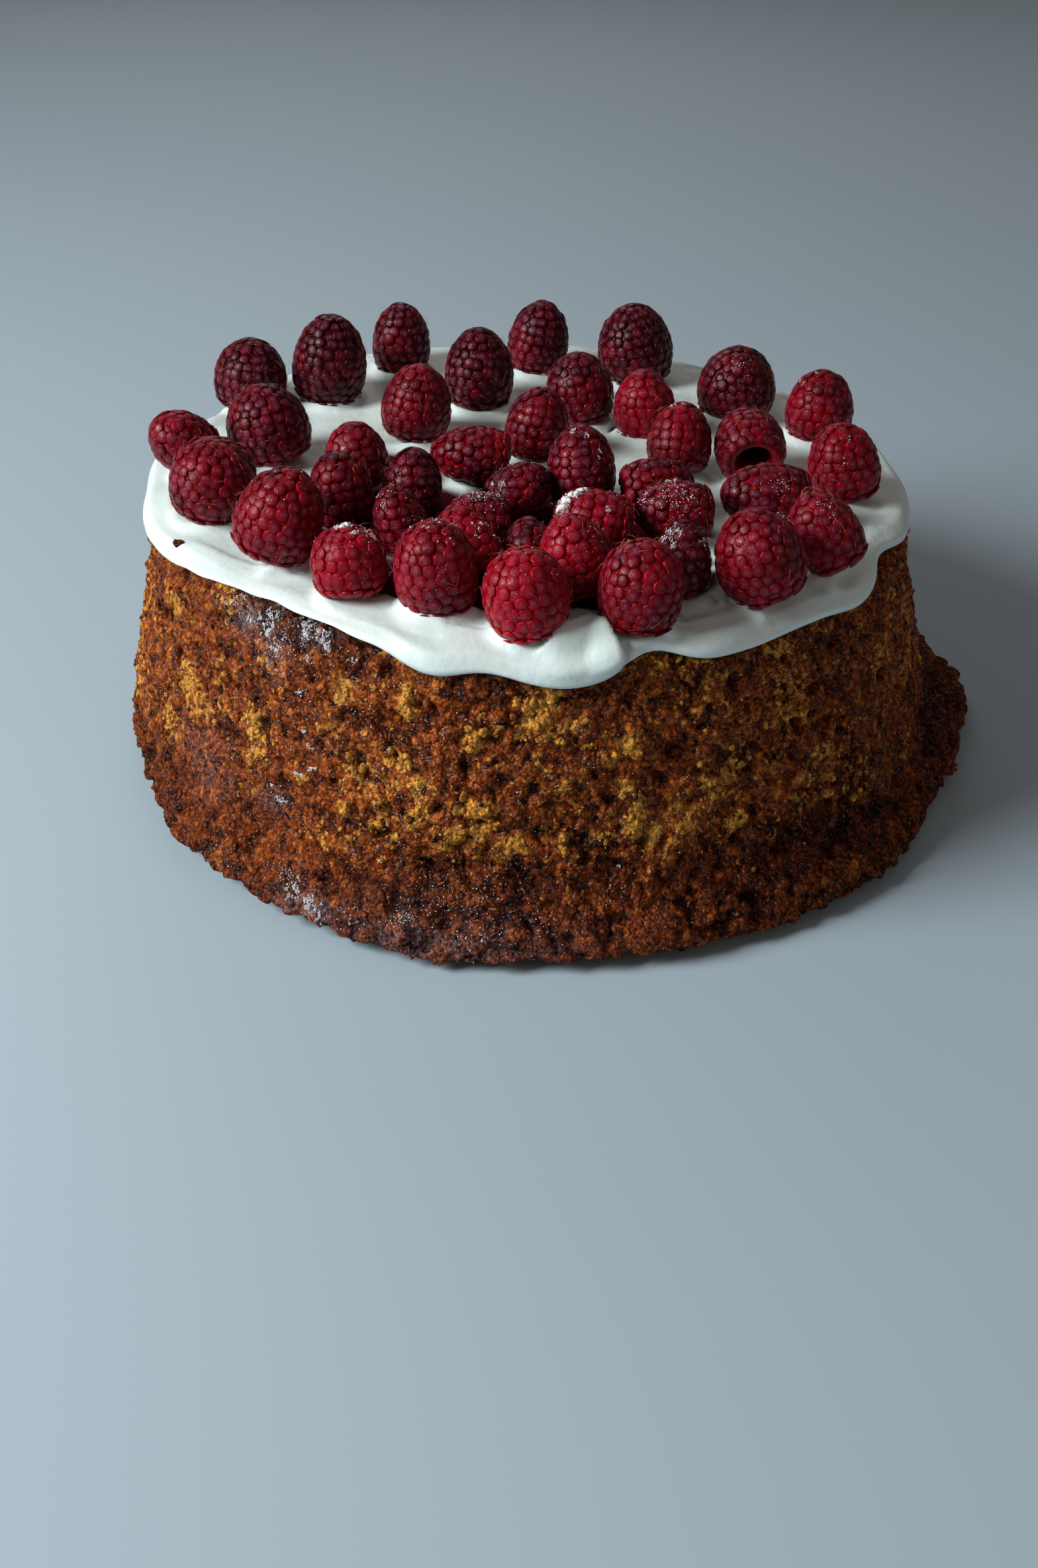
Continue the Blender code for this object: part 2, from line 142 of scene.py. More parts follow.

# The raspberries in the order of their solids: the azimuth that the tip leans towards and the lean from
# upright, in degrees, the length and width in millimetres, and how bright it is, from 0 to 1: its own tone,
# with painted shade making the berries at the back and in the heaps darker.
BERRIES = (
    (200, 12, 19.2, 19.8, 0.62),
    (180, 6, 21, 19.5, 0.38),
    (120, 14, 16, 18, 0.6),
    (10, 22, 22, 21.5, 0.3),
    (0, 9, 19.5, 22, 0.24),
    (205, 50, 17, 16.5, 0.3),
    (170, 14, 20, 22.5, 0.1),
    (10, 6, 19, 21, 0.02),
    (0, 6, 24.5, 21.5, 0.0),
    (90, 4, 20, 17.5, 0.05),
    (90, 6, 22, 20, 0.06),
    (0, 8, 21, 18.5, 0.06),
    (180, 8, 22.5, 22.5, 0.02),
    (60, 6, 19.5, 22.5, 0.1),
    (30, 4, 19, 19, 0.3),
    (170, 14, 19.5, 19, 0.4),
    (160, 34, 19.5, 17, 0.36),
    (180, 20, 21.2, 21.2, 0.3),
    (20, 6, 20.2, 19.7, 0.42),
    (20, 8, 20, 19.5, 0.22),
    (150, 8, 19, 19.5, 0.16),
    (20, 8, 18.5, 17.5, 0.2),
    (150, 6, 18, 17.5, 0.5),
    (80, 26, 17.5, 17.5, 0.34),
    (95, 76, 20, 19, 0.22),
    (188, 82, 22, 17.5, 0.18),
    (190, 14, 16.5, 16.5, 0.3),
    (150, 10, 18, 16, 0.14),
    (60, 12, 18, 15.5, 0.12),
    (182, 84, 20.5, 16, 0.26),
    (160, 16, 16.5, 13.5, 0.3),
    (195, 80, 15.5, 13.5, 0.16),
    (20, 64, 15.5, 14, 0.14),
    (100, 20, 20, 18, 0.22),
    (178, 80, 18.5, 15, 0.4),
    (10, 80, 18, 16, 0.12),
    (190, 80, 18.5, 16, 0.22),
    (150, 40, 16.6, 14.2, 0.6),
    (160, 20, 19, 17.8, 0.55),
    (90, 62, 13, 11.5, 0.12),
    (90, 15, 17.5, 14, 0.14),
)
# A raspberry's outline: the share of its length where it is widest, its base's width as a share of its
# greatest, how it tapers and how bluntly it ends.
BERRY_WIDEST = 0.32
BERRY_BASE_SHARE = 0.78
BERRY_TAPER = 2.2
BERRY_BLUNTNESS = 0.55
# The berries whose tips are broad and rounded, by number, and their taper.
BLUNT_BERRIES = (1, 2, 3, 5, 19, 28, 35)
BLUNT_TAPER = 2.9
# The round corner of its base, and how far round it the drupelets go, in degrees.
BERRY_CORNER = 1.6 * MM
BERRY_CORNER_TURN = 50
# Berries that lean further than this, in degrees, are open at the base. Their hole's outline: its radius as a
# share of the base's, its depth as a share of the berry's length, and how much painted shade darkens it
# there.
OPEN_LEAN = 55
HOLE = (
    (0.86, -0.03, 0),
    (0.70, -0.02, 0.1),
    (0.62, 0.05, 0.3),
    (0.58, 0.16, 0.6),
    (0.46, 0.30, 0.9),
    (0.26, 0.41, 1),
    (0.02, 0.45, 1),
)

# The drupelets of a raspberry: domes of that radius at that spacing, a little flattened, in rows that are
# closer together than the domes in them.
DRUPELET_SPACING = 3.1 * MM
DRUPELET_ROW_SHARE = 0.866
DRUPELET_RADIUS = 3.05 * MM
DRUPELET_FLATNESS = 0.7
# How much their size varies, and their tone, from one to the next and over the berry.
DRUPELET_SIZES = (0.86, 1.1)
TONE_SPREAD, TONE_DRIFT = 0.11, 0.2
# The bends of a dome's rings from its crown in degrees, how deep in the gap each lies and its pale bloom
# with a painted highlight.
DOME_BENDS, DOME_GAPS, DOME_BLOOM_AND_HIGHLIGHT = (13, 25, 38), (0.0, 0.3, 1.0), (0.35, 0.0, 0.0)
DOME_SIDES = 8
# The berry's body inside the domes: how deep it lies, its rows and its sides.
CORE_DEPTH = 0.35 * MM
CORE_ROWS = 12
CORE_SIDES = 20

# The share of drupelets with a hair, the hairs' least and greatest length, their radius, and how each
# narrows, as rows of (share of its length, share of its radius).
HAIR_SHARE = 0.3
HAIR_LENGTH = (2.8 * MM, 5.6 * MM)
HAIR_RADIUS = 0.04 * MM
HAIR_RINGS = ((0, 1), (0.35, 0.9), (0.7, 0.7), (1, 0.25))

# Where the crust has come away and pale crumb shows: azimuth and height of the middle, then half width and
# half height, all but the first in millimetres, and how fully it shows.
GOLD_PATCHES = (
    (-105, 60, 3, 7, 0.95),
    (-115, 60, 3, 4, 0.8),
    (-115, 50, 3, 4, 0.7),
    (-112, 52, 5, 5, 0.4),
    (-128, 44, 5, 5, 0.7),
    (-127, 36, 4, 5, 0.6),
    (-143, 43, 6, 6, 0.8),
    (-124, 56, 3, 5, 0.4),
    (-88, 61, 6, 6, 0.8),
    (-96, 55, 5, 5, 0.6),
    (-106, 44, 5, 4, 0.7),
    (-104, 40, 7, 4, 0.5),
    (-96, 36, 5, 2.2, 1.1),
    (-103, 32, 4, 5, 1.0),
    (-94, 31, 3, 5, 0.8),
    (-97, 29, 7, 3, 1.1),
    (-91, 26, 5, 3, 0.8),
    (-113, 32, 3, 4, 0.7),
    (-118, 37, 5, 5, 0.3),
    (-84, 56, 6, 6, 0.5),
    (-76, 51, 4, 5, 0.7),
    (-77, 41, 4, 4, 0.6),
    (-75, 34, 5, 6, 1.0),
    (-73, 30, 5, 4, 0.8),
    (-84, 30, 3, 4, 0.7),
    (-86, 36, 6, 5, 0.3),
    (-65, 38, 10, 7, 0.6),
    (-61, 43, 8, 6, 0.5),
    (-62, 30, 3, 6, 0.6),
    (-46, 35, 12, 6, 0.5),
    (-30, 45, 14, 10, 0.35),
    (10, 48, 20, 8, 0.4),
    (35, 36, 12, 9, 0.5),
    (58, 50, 9, 8, 0.5),
    (84, 38, 7, 8, 0.8),
    (97, 56, 6, 6, 0.6),
    (120, 34, 12, 8, 0.5),
    (146, 50, 9, 8, 0.7),
    (166, 38, 8, 8, 0.6),
    (185, 52, 8, 7, 0.5),
)
# Where the crust is baked darker, in the same measures. On the lower wall at the right it is
# also painted shade.
DARK_PATCHES = (
    (-122, 70, 26, 5, 0.8),
    (-128, 24, 14, 7, 0.5),
    (-150, 12, 30, 9, 0.6),
    (-88, 19, 45, 6, 0.75),
    (-105, 5, 40, 6, 0.45),
    # The next three darken the lower wall at the right: darker crust there, and painted shade where it is
    # turned from the light.
    (-40, 4, 60, 8, 0.8),
    (-50, 16, 50, 10, 1.0),
    (-5, 14, 60, 10, 0.9),
    (50, 14, 50, 8, 0.8),
    (110, 12, 50, 8, 0.7),
    (165, 14, 40, 8, 0.8),
    (-60, 66, 30, 5, 0.5),
    (20, 68, 40, 4, 0.5),
    (90, 68, 40, 4, 0.6),
)

# The palette knife's strokes in the icing: azimuth where each starts and ends, its distance in from the edge
# there, its height and the widths of its inner and outer sides, in degrees and millimetres.
KNIFE_STROKES = (
    (-121, -106, 22.0, 11.0, 1.3, 1.0, 3.2),
    (-109, -91, 12.0, 7.0, 1.0, 1.0, 3.0),
    (-90, -76, 3.6, 7.5, 0.55, 1.2, 1.4),
    (-70, -46, 6.0, 9.0, 0.8, 1.6, 3.0),
    (-150, -126, 5.0, 11.0, 0.7, 1.4, 3.0),
    (-40, -18, 10.0, 5.0, 0.8, 1.5, 2.5),
    (-14, 20, 6.0, 9.0, 0.7, 1.5, 2.5),
    (28, 60, 10.0, 5.0, 0.7, 1.5, 2.5),
    (66, 110, 6.0, 12.0, 0.6, 1.5, 3.0),
    (118, 150, 10.0, 6.0, 0.7, 1.5, 2.5),
    (155, 190, 5.0, 9.0, 0.6, 1.5, 2.5),
)
# The peak that the knife pulled up at the front, in millimetres: where its tip and the ends of its two sharp
# sides are, as x and y, its height, how soon it falls away behind those sides and before them, and its reach.
PEAK_TIP, PEAK_LEFT, PEAK_RIGHT = (14.3, -88.2), (2.6, -98.2), (23.6, -99.8)
PEAK_HEIGHT, PEAK_BEHIND, PEAK_BEFORE, PEAK_SPAN = 4.4, 0.9, 6.0, 13.0
# The cleft beside it: its ends, depth and half width.
CLEFT_START, CLEFT_END, CLEFT_DEPTH, CLEFT_WIDTH = (22.0, -94.0), (25.2, -106.0), 2.6, 1.1

# Icing sugar on the crust: azimuth, height, spread along and up, in millimetres, and number of grains.
CRUST_SUGAR = (
    (-128.6, 70.4, 1.3, 1.2, 330),
    (-127.2, 67.6, 0.9, 1.1, 220),
    (-125.5, 64.6, 0.7, 0.9, 110),
    (-130.5, 68.5, 1.5, 1.2, 90),
    (-122.4, 71.8, 0.9, 0.6, 150),
    (-120.8, 70.7, 1.2, 0.9, 300),
    (-118.6, 70.4, 0.9, 0.7, 200),
    (-117.2, 68.6, 0.7, 0.7, 120),
    (-113, 67.5, 1.2, 0.6, 50),
    (-135, 71, 2.6, 1.6, 150),
    (-124, 67, 5.0, 3.6, 200),
    (-119.4, 65, 0.5, 0.5, 40),
    (-121, 56, 0.5, 0.5, 36),
    (-120, 47, 0.5, 0.4, 40),
    (-119, 44, 0.5, 0.4, 30),
    (-118, 39, 0.7, 0.4, 70),
    (-119.5, 36.5, 0.8, 0.4, 70),
    (-122.5, 28, 0.8, 0.5, 120),
    (-124, 31, 0.4, 0.3, 30),
    (-118, 9, 1.2, 1.4, 220),
    (-115.5, 7, 1.2, 1.4, 240),
    (-114, 5, 0.8, 1.0, 90),
    (-120, 11, 2.2, 1.5, 80),
    (-103.5, 9, 1.6, 1.2, 90),
    (-100, 14, 3.6, 2.6, 60),
    (-94, 15, 4.6, 2.6, 60),
    (-95, 8, 3.6, 1.8, 60),
    (-110, 7, 3.6, 1.8, 50),
    (-88, 10, 2.6, 1.8, 30),
    (-77.5, 22, 0.4, 0.3, 18),
    (-130, 6, 5.5, 2.6, 60),
    # These four wide dustings are icing sugar, and their white grains also stand in for glints on the moist
    # crumb.
    (-112, 52, 16.0, 18.0, 380),
    (-95, 40, 16.0, 20.0, 260),
    (-128, 40, 12.0, 18.0, 200),
    (-75, 35, 14.0, 16.0, 110),
    (100, 68, 2.0, 1.4, 120),
    (150, 11, 2.0, 1.8, 160),
    (60, 10, 1.8, 1.4, 120),
)
# Where a film of sugar dust greys the crust: azimuth, height, half width, half height and how much.
DUST_PATCHES = (
    (-131, 69, 6, 5, 0.55),
    (-120, 70, 6, 3, 0.45),
    (-126, 63, 4, 4, 0.35),
    (-116, 6, 8, 4, 0.5),
    (-137, 26, 9, 8, 0.2),
    (-98, 6, 34, 6, 0.22),
    (-124, 26, 4, 3, 0.35),
    (-104, 8, 8, 4, 0.35),
)
# Icing sugar on the berries: x, y and spread in millimetres, and number of grains.
BERRY_SUGAR = (
    (-42.3, -72.5, 1.0, 170),
    (-39.4, -75.5, 0.5, 50),
    (-35, -74, 0.7, 50),
    (-34, -53, 0.6, 22),
    (-36, -51, 0.9, 20),
    (-8.6, -34, 0.4, 44),
    (-6.4, -35.5, 0.4, 40),
    (-11.7, -45, 3.4, 150),
    (8.2, -51, 0.9, 330),
    (10.6, -49.6, 0.8, 220),
    (12.8, -47.5, 0.7, 90),
    (-12.3, -65.4, 0.9, 40),
    (-8.8, -62.5, 1.0, 40),
    (10.7, -21.4, 0.6, 44),
    (14.2, -23.4, 0.5, 34),
    (17.1, -25.6, 0.4, 20),
    (23, -24, 0.5, 24),
    (18.4, -54, 0.6, 24),
    (27, -47.4, 0.8, 70),
    (34.3, -42.4, 1.0, 50),
    (33, -49, 2.6, 120),
    (31.6, -72.1, 1.0, 90),
    (33.4, -72.3, 1.0, 90),
    (32.6, -75, 0.9, 50),
    (38.2, -48.7, 1.6, 50),
    (39.2, -73.5, 0.8, 34),
    (-22.4, -82, 0.5, 14),
    (-26, -80, 0.5, 10),
    (38.8, 0.9, 1.0, 30),
    (57.4, -71.3, 1.0, 18),
    (61.4, -39.8, 1.6, 40),
    (69.5, -60.7, 1.6, 24),
    (57.3, 36.3, 1.6, 40),
    (80.3, -17.8, 1.2, 16),
    (76, 28, 1.4, 20),
    (0, -30, 8.0, 30),
    (30, -40, 9.0, 50),
    # From here on, wide dustings over the front berries: icing sugar, whose white grains also stand in for
    # the small glints on the drupelets.
    (-1, -90, 6.0, 36),
    (-21, -80, 6.0, 70),
    (-41, -73, 5.0, 50),
    (-58, -56, 6.0, 30),
    (12, -72, 5.0, 30),
    (-31, -50, 4.5, 40),
)
# Two lumps of sugar, on two berries: x, y and radius of each of their parts, in millimetres.
SUGAR_LUMPS = (
    (6.6, -52.9, 0.6),
    (7.4, -51.5, 0.9),
    (8.3, -52.0, 0.7),
    (8.8, -50.6, 1.1),
    (9.6, -51.4, 0.6),
    (10.0, -49.8, 0.8),
    (10.9, -50.1, 0.5),
    (11.4, -49.0, 0.7),
    (12.4, -47.8, 0.8),
    (13.2, -47.3, 0.4),
    (13.6, -46.7, 0.6),
    (-42.3, -72.9, 0.6),
    (-41.3, -71.8, 0.7),
)
# Crumbs that lie on the icing, in the same measures.
ICING_CRUMBS = (
    (-85.0, -48.6, 1.2),
    (-86.0, -47.4, 0.7),
)
# Heaps of sugar this wide or wider, in millimetres, are a dusting of single grains; the others are clumps of
# about so many.
DUSTING_SPREAD = 1.6
CLUMP_GRAINS = 9
# The least and greatest radius of a grain of sugar, in millimetres.
SUGAR_RADIUS = (0.07, 0.2)


# ---------------------------------------------------------------- noise


def hashed(cells, seed):
    """A number from 0 to 1 for each row of whole numbers."""
    x, y, z = np.moveaxis(cells, -1, 0)
    mixed = (x * 374761393 + y * 668265263 + z * 1440662683 + seed * 974634777) & 0xFFFFFFFF
    mixed = ((mixed ^ (mixed >> 13)) * 1274126177) & 0xFFFFFFFF
    return ((mixed ^ (mixed >> 16)) & 0xFFFFFF) / 0xFFFFFF


def soft_noise(points, size, seed):
    """Smooth noise from -1 to 1 with lumps of that size."""
    scaled = points / size
    cell = np.floor(scaled).astype(np.int64)
    inside = scaled - cell
    ease = inside * inside * (3 - 2 * inside)
    mixed = np.zeros(points.shape[:-1])
    for corner in np.ndindex(2, 2, 2):
        share = np.prod(np.where(corner, ease, 1 - ease), axis=-1)
        mixed += share * hashed(cell + np.array(corner), seed)
    return 2 * mixed - 1


def soft_shift(points, size, seed):
    """Smooth noise from -1 to 1 along each axis."""
    return np.stack([soft_noise(points, size, seed + k) for k in range(3)], -1)


def cell_noise(points, size, seed):
    """Distance to the nearest of a scatter of points, one to a cell of that size, in cells, and that point's
    own number from 0 to 1."""
    scaled = points / size
    cell = np.floor(scaled).astype(np.int64)
    nearest = np.full(points.shape[:-1], np.inf)
    number = np.zeros(points.shape[:-1])
    for step in np.ndindex(3, 3, 3):
        there = cell + np.array(step) - 1
        centre = there + np.stack([hashed(there, seed + k) for k in range(3)], -1)
        apart = np.linalg.norm(scaled - centre, axis=-1)
        closer = apart < nearest
        nearest[closer] = apart[closer]
        number[closer] = hashed(there, seed + 3)[closer]
    return nearest, number


def smooth_step(low, high, values):
    """Values moved from that range to 0 to 1, with an easy start and end."""
    share = np.clip((values - low) / (high - low), 0, 1)
    return share * share * (3 - 2 * share)


def blurred(field, reach, down=True):
    """A field over rows and columns, averaged twice over its neighbours, down the rows too if asked. The
    columns close round on themselves."""
    for _ in range(2):
        wide = np.concatenate([field[:, -reach:], field, field[:, :reach]], 1)
        field = np.mean([wide[:, k:k + field.shape[1]] for k in range(2 * reach + 1)], axis=0)
        if down:
            tall = np.concatenate([field[:1]] * reach + [field] + [field[-1:]] * reach, 0)
            field = np.mean([tall[k:k + field.shape[0]] for k in range(2 * reach + 1)], axis=0)
    return field


def turn_apart(first, second):
    """The angle between two azimuths in degrees, signed."""
    return (first - second + 180) % 360 - 180


# ---------------------------------------------------------------- meshes


def turned(radius, turns, height=0.0):
    """The points at those turns round the Z axis, at that radius and height."""
    return np.stack(np.broadcast_arrays(radius * np.cos(turns), radius * np.sin(turns), height), -1)


def mesh_object(name, points, groups, values=None):
    """An object from points and from groups of faces, each an array whose faces have as many corners, with
    named values for each point."""
    mesh = bpy.data.meshes.new(name)
    mesh.vertices.add(len(points))
    mesh.vertices.foreach_set("co", np.asarray(points, dtype=np.float32).ravel())
    groups = [np.asarray(group, dtype=np.int32) for group in groups]
    corners = np.concatenate([group.ravel() for group in groups])
    sizes = np.concatenate([np.full(len(group), group.shape[1]) for group in groups])
    mesh.loops.add(len(corners))
    mesh.loops.foreach_set("vertex_index", corners)
    mesh.polygons.add(len(sizes))
    mesh.polygons.foreach_set("loop_start", np.concatenate([[0], np.cumsum(sizes)[:-1]]).astype(np.int32))
    mesh.update(calc_edges=True)
    mesh.validate()
    mesh.shade_smooth()
    for key, value in (values or {}).items():
        attribute = mesh.attributes.new(key, "FLOAT", "POINT")
        attribute.data.foreach_set("value", np.asarray(value, np.float32).ravel())
    obj = bpy.data.objects.new(name, mesh)
    bpy.context.scene.collection.objects.link(obj)
    return obj


def turned_faces(rows, columns):
    """The faces between rows of points that close round on themselves, from top to bottom, and the two fans
    that end them at poles, which are the last two points."""
    first = np.arange(rows - 1)[:, None] * columns
    here = np.arange(columns)[None, :]
    after = (here + 1) % columns
    quads = np.stack([first + here, first + columns + here, first + columns + after, first + after], -1)
    here, after = here[0], after[0]
    top, last = np.full(columns, rows * columns), (rows - 1) * columns
    upper_fan, lower_fan = np.stack([top, here, after], 1), np.stack([top + 1, last + after, last + here], 1)
    return [quads.reshape(-1, 4), upper_fan, lower_fan]


def turned_object(name, points, poles, values=None):
    """An object from rows of points that close round on themselves, between two poles."""
    rows, columns = points.shape[:2]
    every = np.concatenate([points.reshape(-1, 3), np.asarray(poles)])
    filled = {
        key: np.concatenate([value.ravel(), [value[0].mean(), value[-1].mean()]])
        for key, value in (values or {}).items()
    }
    return mesh_object(name, every, turned_faces(rows, columns), filled)


def repeated(groups, size, count, start=0):
    """The faces of as many copies of a shape, which has that many points."""
    steps = (np.arange(count) * size + start)[:, None, None]
    return [(group[None] + steps).reshape(-1, group.shape[1]) for group in groups]


def grid_normals(points):
    """The outward direction at each point of rows that close round on themselves."""
    across = np.roll(points, -1, 1) - np.roll(points, 1, 1)
    down = np.gradient(points, axis=0)
    normals = np.cross(down, across)
    return normals / np.maximum(np.linalg.norm(normals, axis=-1, keepdims=True), 1e-12)


def ways_across(normals, rng):
    """Two directions across each of the normals, turned at random about it."""
    spare = np.where(np.abs(normals[:, 2:]) > 0.9, (1.0, 0, 0), (0, 0, 1.0))
    side = np.cross(normals, spare)
    side /= np.linalg.norm(side, axis=1, keepdims=True)
    other = np.cross(normals, side)
    spin = rng.uniform(0, math.tau, (len(normals), 1))
    return side * np.cos(spin) + other * np.sin(spin), other * np.cos(spin) - side * np.sin(spin)


def arc_lengths(line):
    """How far along the line each of its points is."""
    return np.concatenate([[0], np.cumsum(np.linalg.norm(np.diff(line, axis=0), axis=1))])


def stood_along(shape, side, other, out):
    """A copy of a shape's points for each row of three directions, turned to stand along them."""
    return side[:, None] * shape[..., :1] + other[:, None] * shape[..., 1:2] + out[:, None] * shape[..., 2:]


def from_axis(points):
    """How far each point is from the Z axis."""
    return np.hypot(points[..., 0], points[..., 1])


def kept_in_box(points):
    """The points, with none outside the box of the solids."""
    return np.clip(points, np.array(CAD_BOX[0]) + 0.02 * MM, np.array(CAD_BOX[1]) - 0.02 * MM)


def dress(obj, finish, replaced=None):
    """Gives a piece its material, and ties it to the frame."""
    obj.data.materials.append(finish)
    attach(obj, "root")
    if replaced:
        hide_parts(replaced)


def add_piece(name, points, faces, finish, values=None):
    """A piece that stands in no solid's place."""
    dress(mesh_object(name, kept_in_box(points.reshape(-1, 3)), faces, values), finish)


def tree_of(obj):
    """What finds where a line meets an object."""
    return BVHTree.FromObject(obj, bpy.context.evaluated_depsgraph_get())


def seen_towards_heart(tree, aside, slope):
    """Where the surface is first met from outside, on a line at that slope towards the heart."""
    way = Vector((*(math.cos(slope) * aside), math.sin(slope)))
    return tree.ray_cast(HEART + FAR * way, -way)[0]


def seen_from_above(surfaces, x, y):
    """The highest point of the surfaces at a place, and which way it faces, or None."""
    hits = [tree.ray_cast(Vector((x, y, FAR)), DOWN)[:2] for tree in surfaces]
    return max((hit for hit in hits if hit[0]), key=lambda hit: hit[0].z, default=None)


# ---------------------------------------------------------------- materials


def plug(tree, socket, value):
    """Joins an output to an input, or sets the input to a value."""
    if isinstance(value, bpy.types.NodeSocket):
        tree.links.new(value, socket)
    else:
        socket.default_value = value


def fill(tree, node, **inputs):
    """Sets or joins a node's inputs. An underscore stands for a space."""
    for key, value in inputs.items():
        plug(tree, node.inputs[key.replace("_", " ")], value)


def add(tree, kind, settings=(), **inputs):
    """A shader node, with its settings and inputs."""
    made = tree.nodes.new("ShaderNode" + kind)
    for key, value in dict(settings).items():
        setattr(made, key, value)
    fill(tree, made, **inputs)
    return made


def colour(*rgb):
    return (*rgb, 1.0)


def blend(tree, factor, first, second, kind="MIX"):
    """Two colours blended."""
    made = add(tree, "Mix", {"data_type": "RGBA", "blend_type": kind})
    for socket, value in ((made.inputs[0], factor), (made.inputs[6], first), (made.inputs[7], second)):
        plug(tree, socket, value)
    return made.outputs[2]


def reckon(tree, kind, first, second):
    """Two values added, subtracted or multiplied."""
    made = add(tree, "Math", {"operation": kind})
    plug(tree, made.inputs[0], first)
    plug(tree, made.inputs[1], second)
    return made.outputs[0]


def stretched(tree, value, low, high, to_low=0.0, to_high=1.0):
    """A value moved from one range to another, and kept in it."""
    made = add(tree, "MapRange", Value=value, From_Min=low, From_Max=high, To_Min=to_low, To_Max=to_high)
    return made.outputs[0]


def place(tree):
    return add(tree, "TexCoord").outputs["Object"]


def noise(tree, size, detail=3.0, roughness=0.55):
    """Noise fixed to the object, with lumps of that size."""
    made = add(tree, "TexNoise", Vector=place(tree), Scale=1 / size, Detail=detail, Roughness=roughness)
    return made.outputs["Fac"]


def ramp(tree, value, stops):
    """The colour at a value between those of the stops, rows of (value, colour)."""
    made = add(tree, "ValToRGB", Fac=value)
    elements = made.color_ramp.elements
    for stop in stops[2:]:
        elements.new(stop[0])
    for element, (position, rgb) in zip(elements, stops):
        element.position, element.color = position, colour(*rgb)
    return made.outputs["Color"]


def total(tree, *terms):
    """The sum of values, each given as (value, share)."""
    parts = [reckon(tree, "MULTIPLY", value, share) for value, share in terms]
    whole = parts[0]
    for part in parts[1:]:
        whole = reckon(tree, "ADD", whole, part)
    return whole


def grains(tree, size, warp):
    """Rounded grains of that size: how high each point stands in its grain, and its grain's two numbers."""
    bent = add(tree, "TexNoise", Vector=place(tree), Scale=1 / size, Detail=2.0)
    moved = add(tree, "VectorMath", {"operation": "MULTIPLY_ADD"})
    plug(tree, moved.inputs[0], bent.outputs["Color"])
    moved.inputs[1].default_value = (warp,) * 3
    plug(tree, moved.inputs[2], place(tree))
    found = add(tree, "TexVoronoi", Vector=moved.outputs[0], Scale=1 / size)
    numbers = add(tree, "SeparateColor", Color=found.outputs["Color"])
    return stretched(tree, found.outputs["Distance"], 0.75, 0.1), numbers.outputs[0], numbers.outputs[1]


def value_of(tree, name):
    return add(tree, "Attribute", {"attribute_name": name}).outputs["Fac"]


def bump(tree, height, distance):
    return add(tree, "Bump", Height=height, Strength=1.0, Distance=distance).outputs["Normal"]


def new_material(name):
    made = bpy.data.materials.new(name)
    made.use_nodes = True
    return made, made.node_tree, made.node_tree.nodes["Principled BSDF"]


def crust_material():
    """Baked crust made of crumbs: near black in the pits, through red-brown to orange, and golden where pale
    crumb shows, with moist glints. Painted shade darkens the low part of each grain, and the pits and cracks."""
    made, tree, shader = new_material("baked_crust")
    rise, pick, shade = grains(tree, 1.7 * MM, 1.2 * MM)
    fine_rise, _, fine_shade = grains(tree, 0.8 * MM, 0.6 * MM)
    specks = noise(tree, 0.9 * MM, 4, 0.65)
    tone = total(tree, (noise(tree, 3.4 * MM, 5, 0.62), 0.36), (noise(tree, 9 * MM, 2), 0.12), (specks, 0.32),
                 (shade, 0.1), (fine_shade, 0.1))
    brown = ramp(tree, tone, ((0.35, (0.018, 0.004, 0.002)), (0.43, (0.095, 0.019, 0.005)),
                              (0.49, (0.262, 0.048, 0.008)), (0.56, (0.465, 0.104, 0.015)),
                              (0.63, (0.790, 0.250, 0.035))))
    # Darker where baked, and on the lower wall at the right also painted shade.
    brown = blend(tree, value_of(tree, "scorch_and_shade"), brown, colour(0.25, 0.17, 0.15), "MULTIPLY")
    chance = total(tree, (stretched(tree, noise(tree, 2.4 * MM, 5, 0.65), 0.3, 0.7), 0.75), (pick, 0.25))
    pale = stretched(tree, reckon(tree, "SUBTRACT", value_of(tree, "gold"), chance), -0.08, 0.1)
    crumb = ramp(tree, specks, ((0.35, (0.50, 0.190, 0.024)), (0.6, (0.98, 0.48, 0.080))))
    whole = blend(tree, pale, brown, crumb)
    # Painted shade: each grain is darker low down and brighter on top, by how high it stands.
    lit, fine_lit = stretched(tree, rise, 0, 0.6, 0.55, 1), stretched(tree, fine_rise, 0, 0.6, 0.7, 1)
    lit = reckon(tree, "MULTIPLY", lit, fine_lit)
    grey = add(tree, "CombineColor", Red=lit, Green=lit, Blue=lit).outputs[0]
    whole = blend(tree, 1.0, whole, grey, "MULTIPLY")
    # Painted shade in the pits and cracks, on top of the crust's own darker colour there.
    whole = blend(tree, value_of(tree, "hollow"), whole, colour(0.22, 0.13, 0.10), "MULTIPLY")
    dust = reckon(tree, "MULTIPLY", value_of(tree, "dust"), stretched(tree, specks, 0.4, 0.62, 0, 1))
    whole = blend(tree, dust, whole, colour(0.30, 0.26, 0.30))
    moist = stretched(tree, noise(tree, 0.7 * MM, 3, 0.6), 0.53, 0.62)
    height = total(tree, (rise, 0.5), (fine_rise, 0.3), (specks, 0.5))
    fill(tree, shader, Base_Color=whole, Normal=bump(tree, height, 0.9 * MM),
         Roughness=stretched(tree, moist, 0, 1, 0.8, 0.18),
         Specular_IOR_Level=stretched(tree, moist, 0, 1, 0.05, 0.8))
    return made


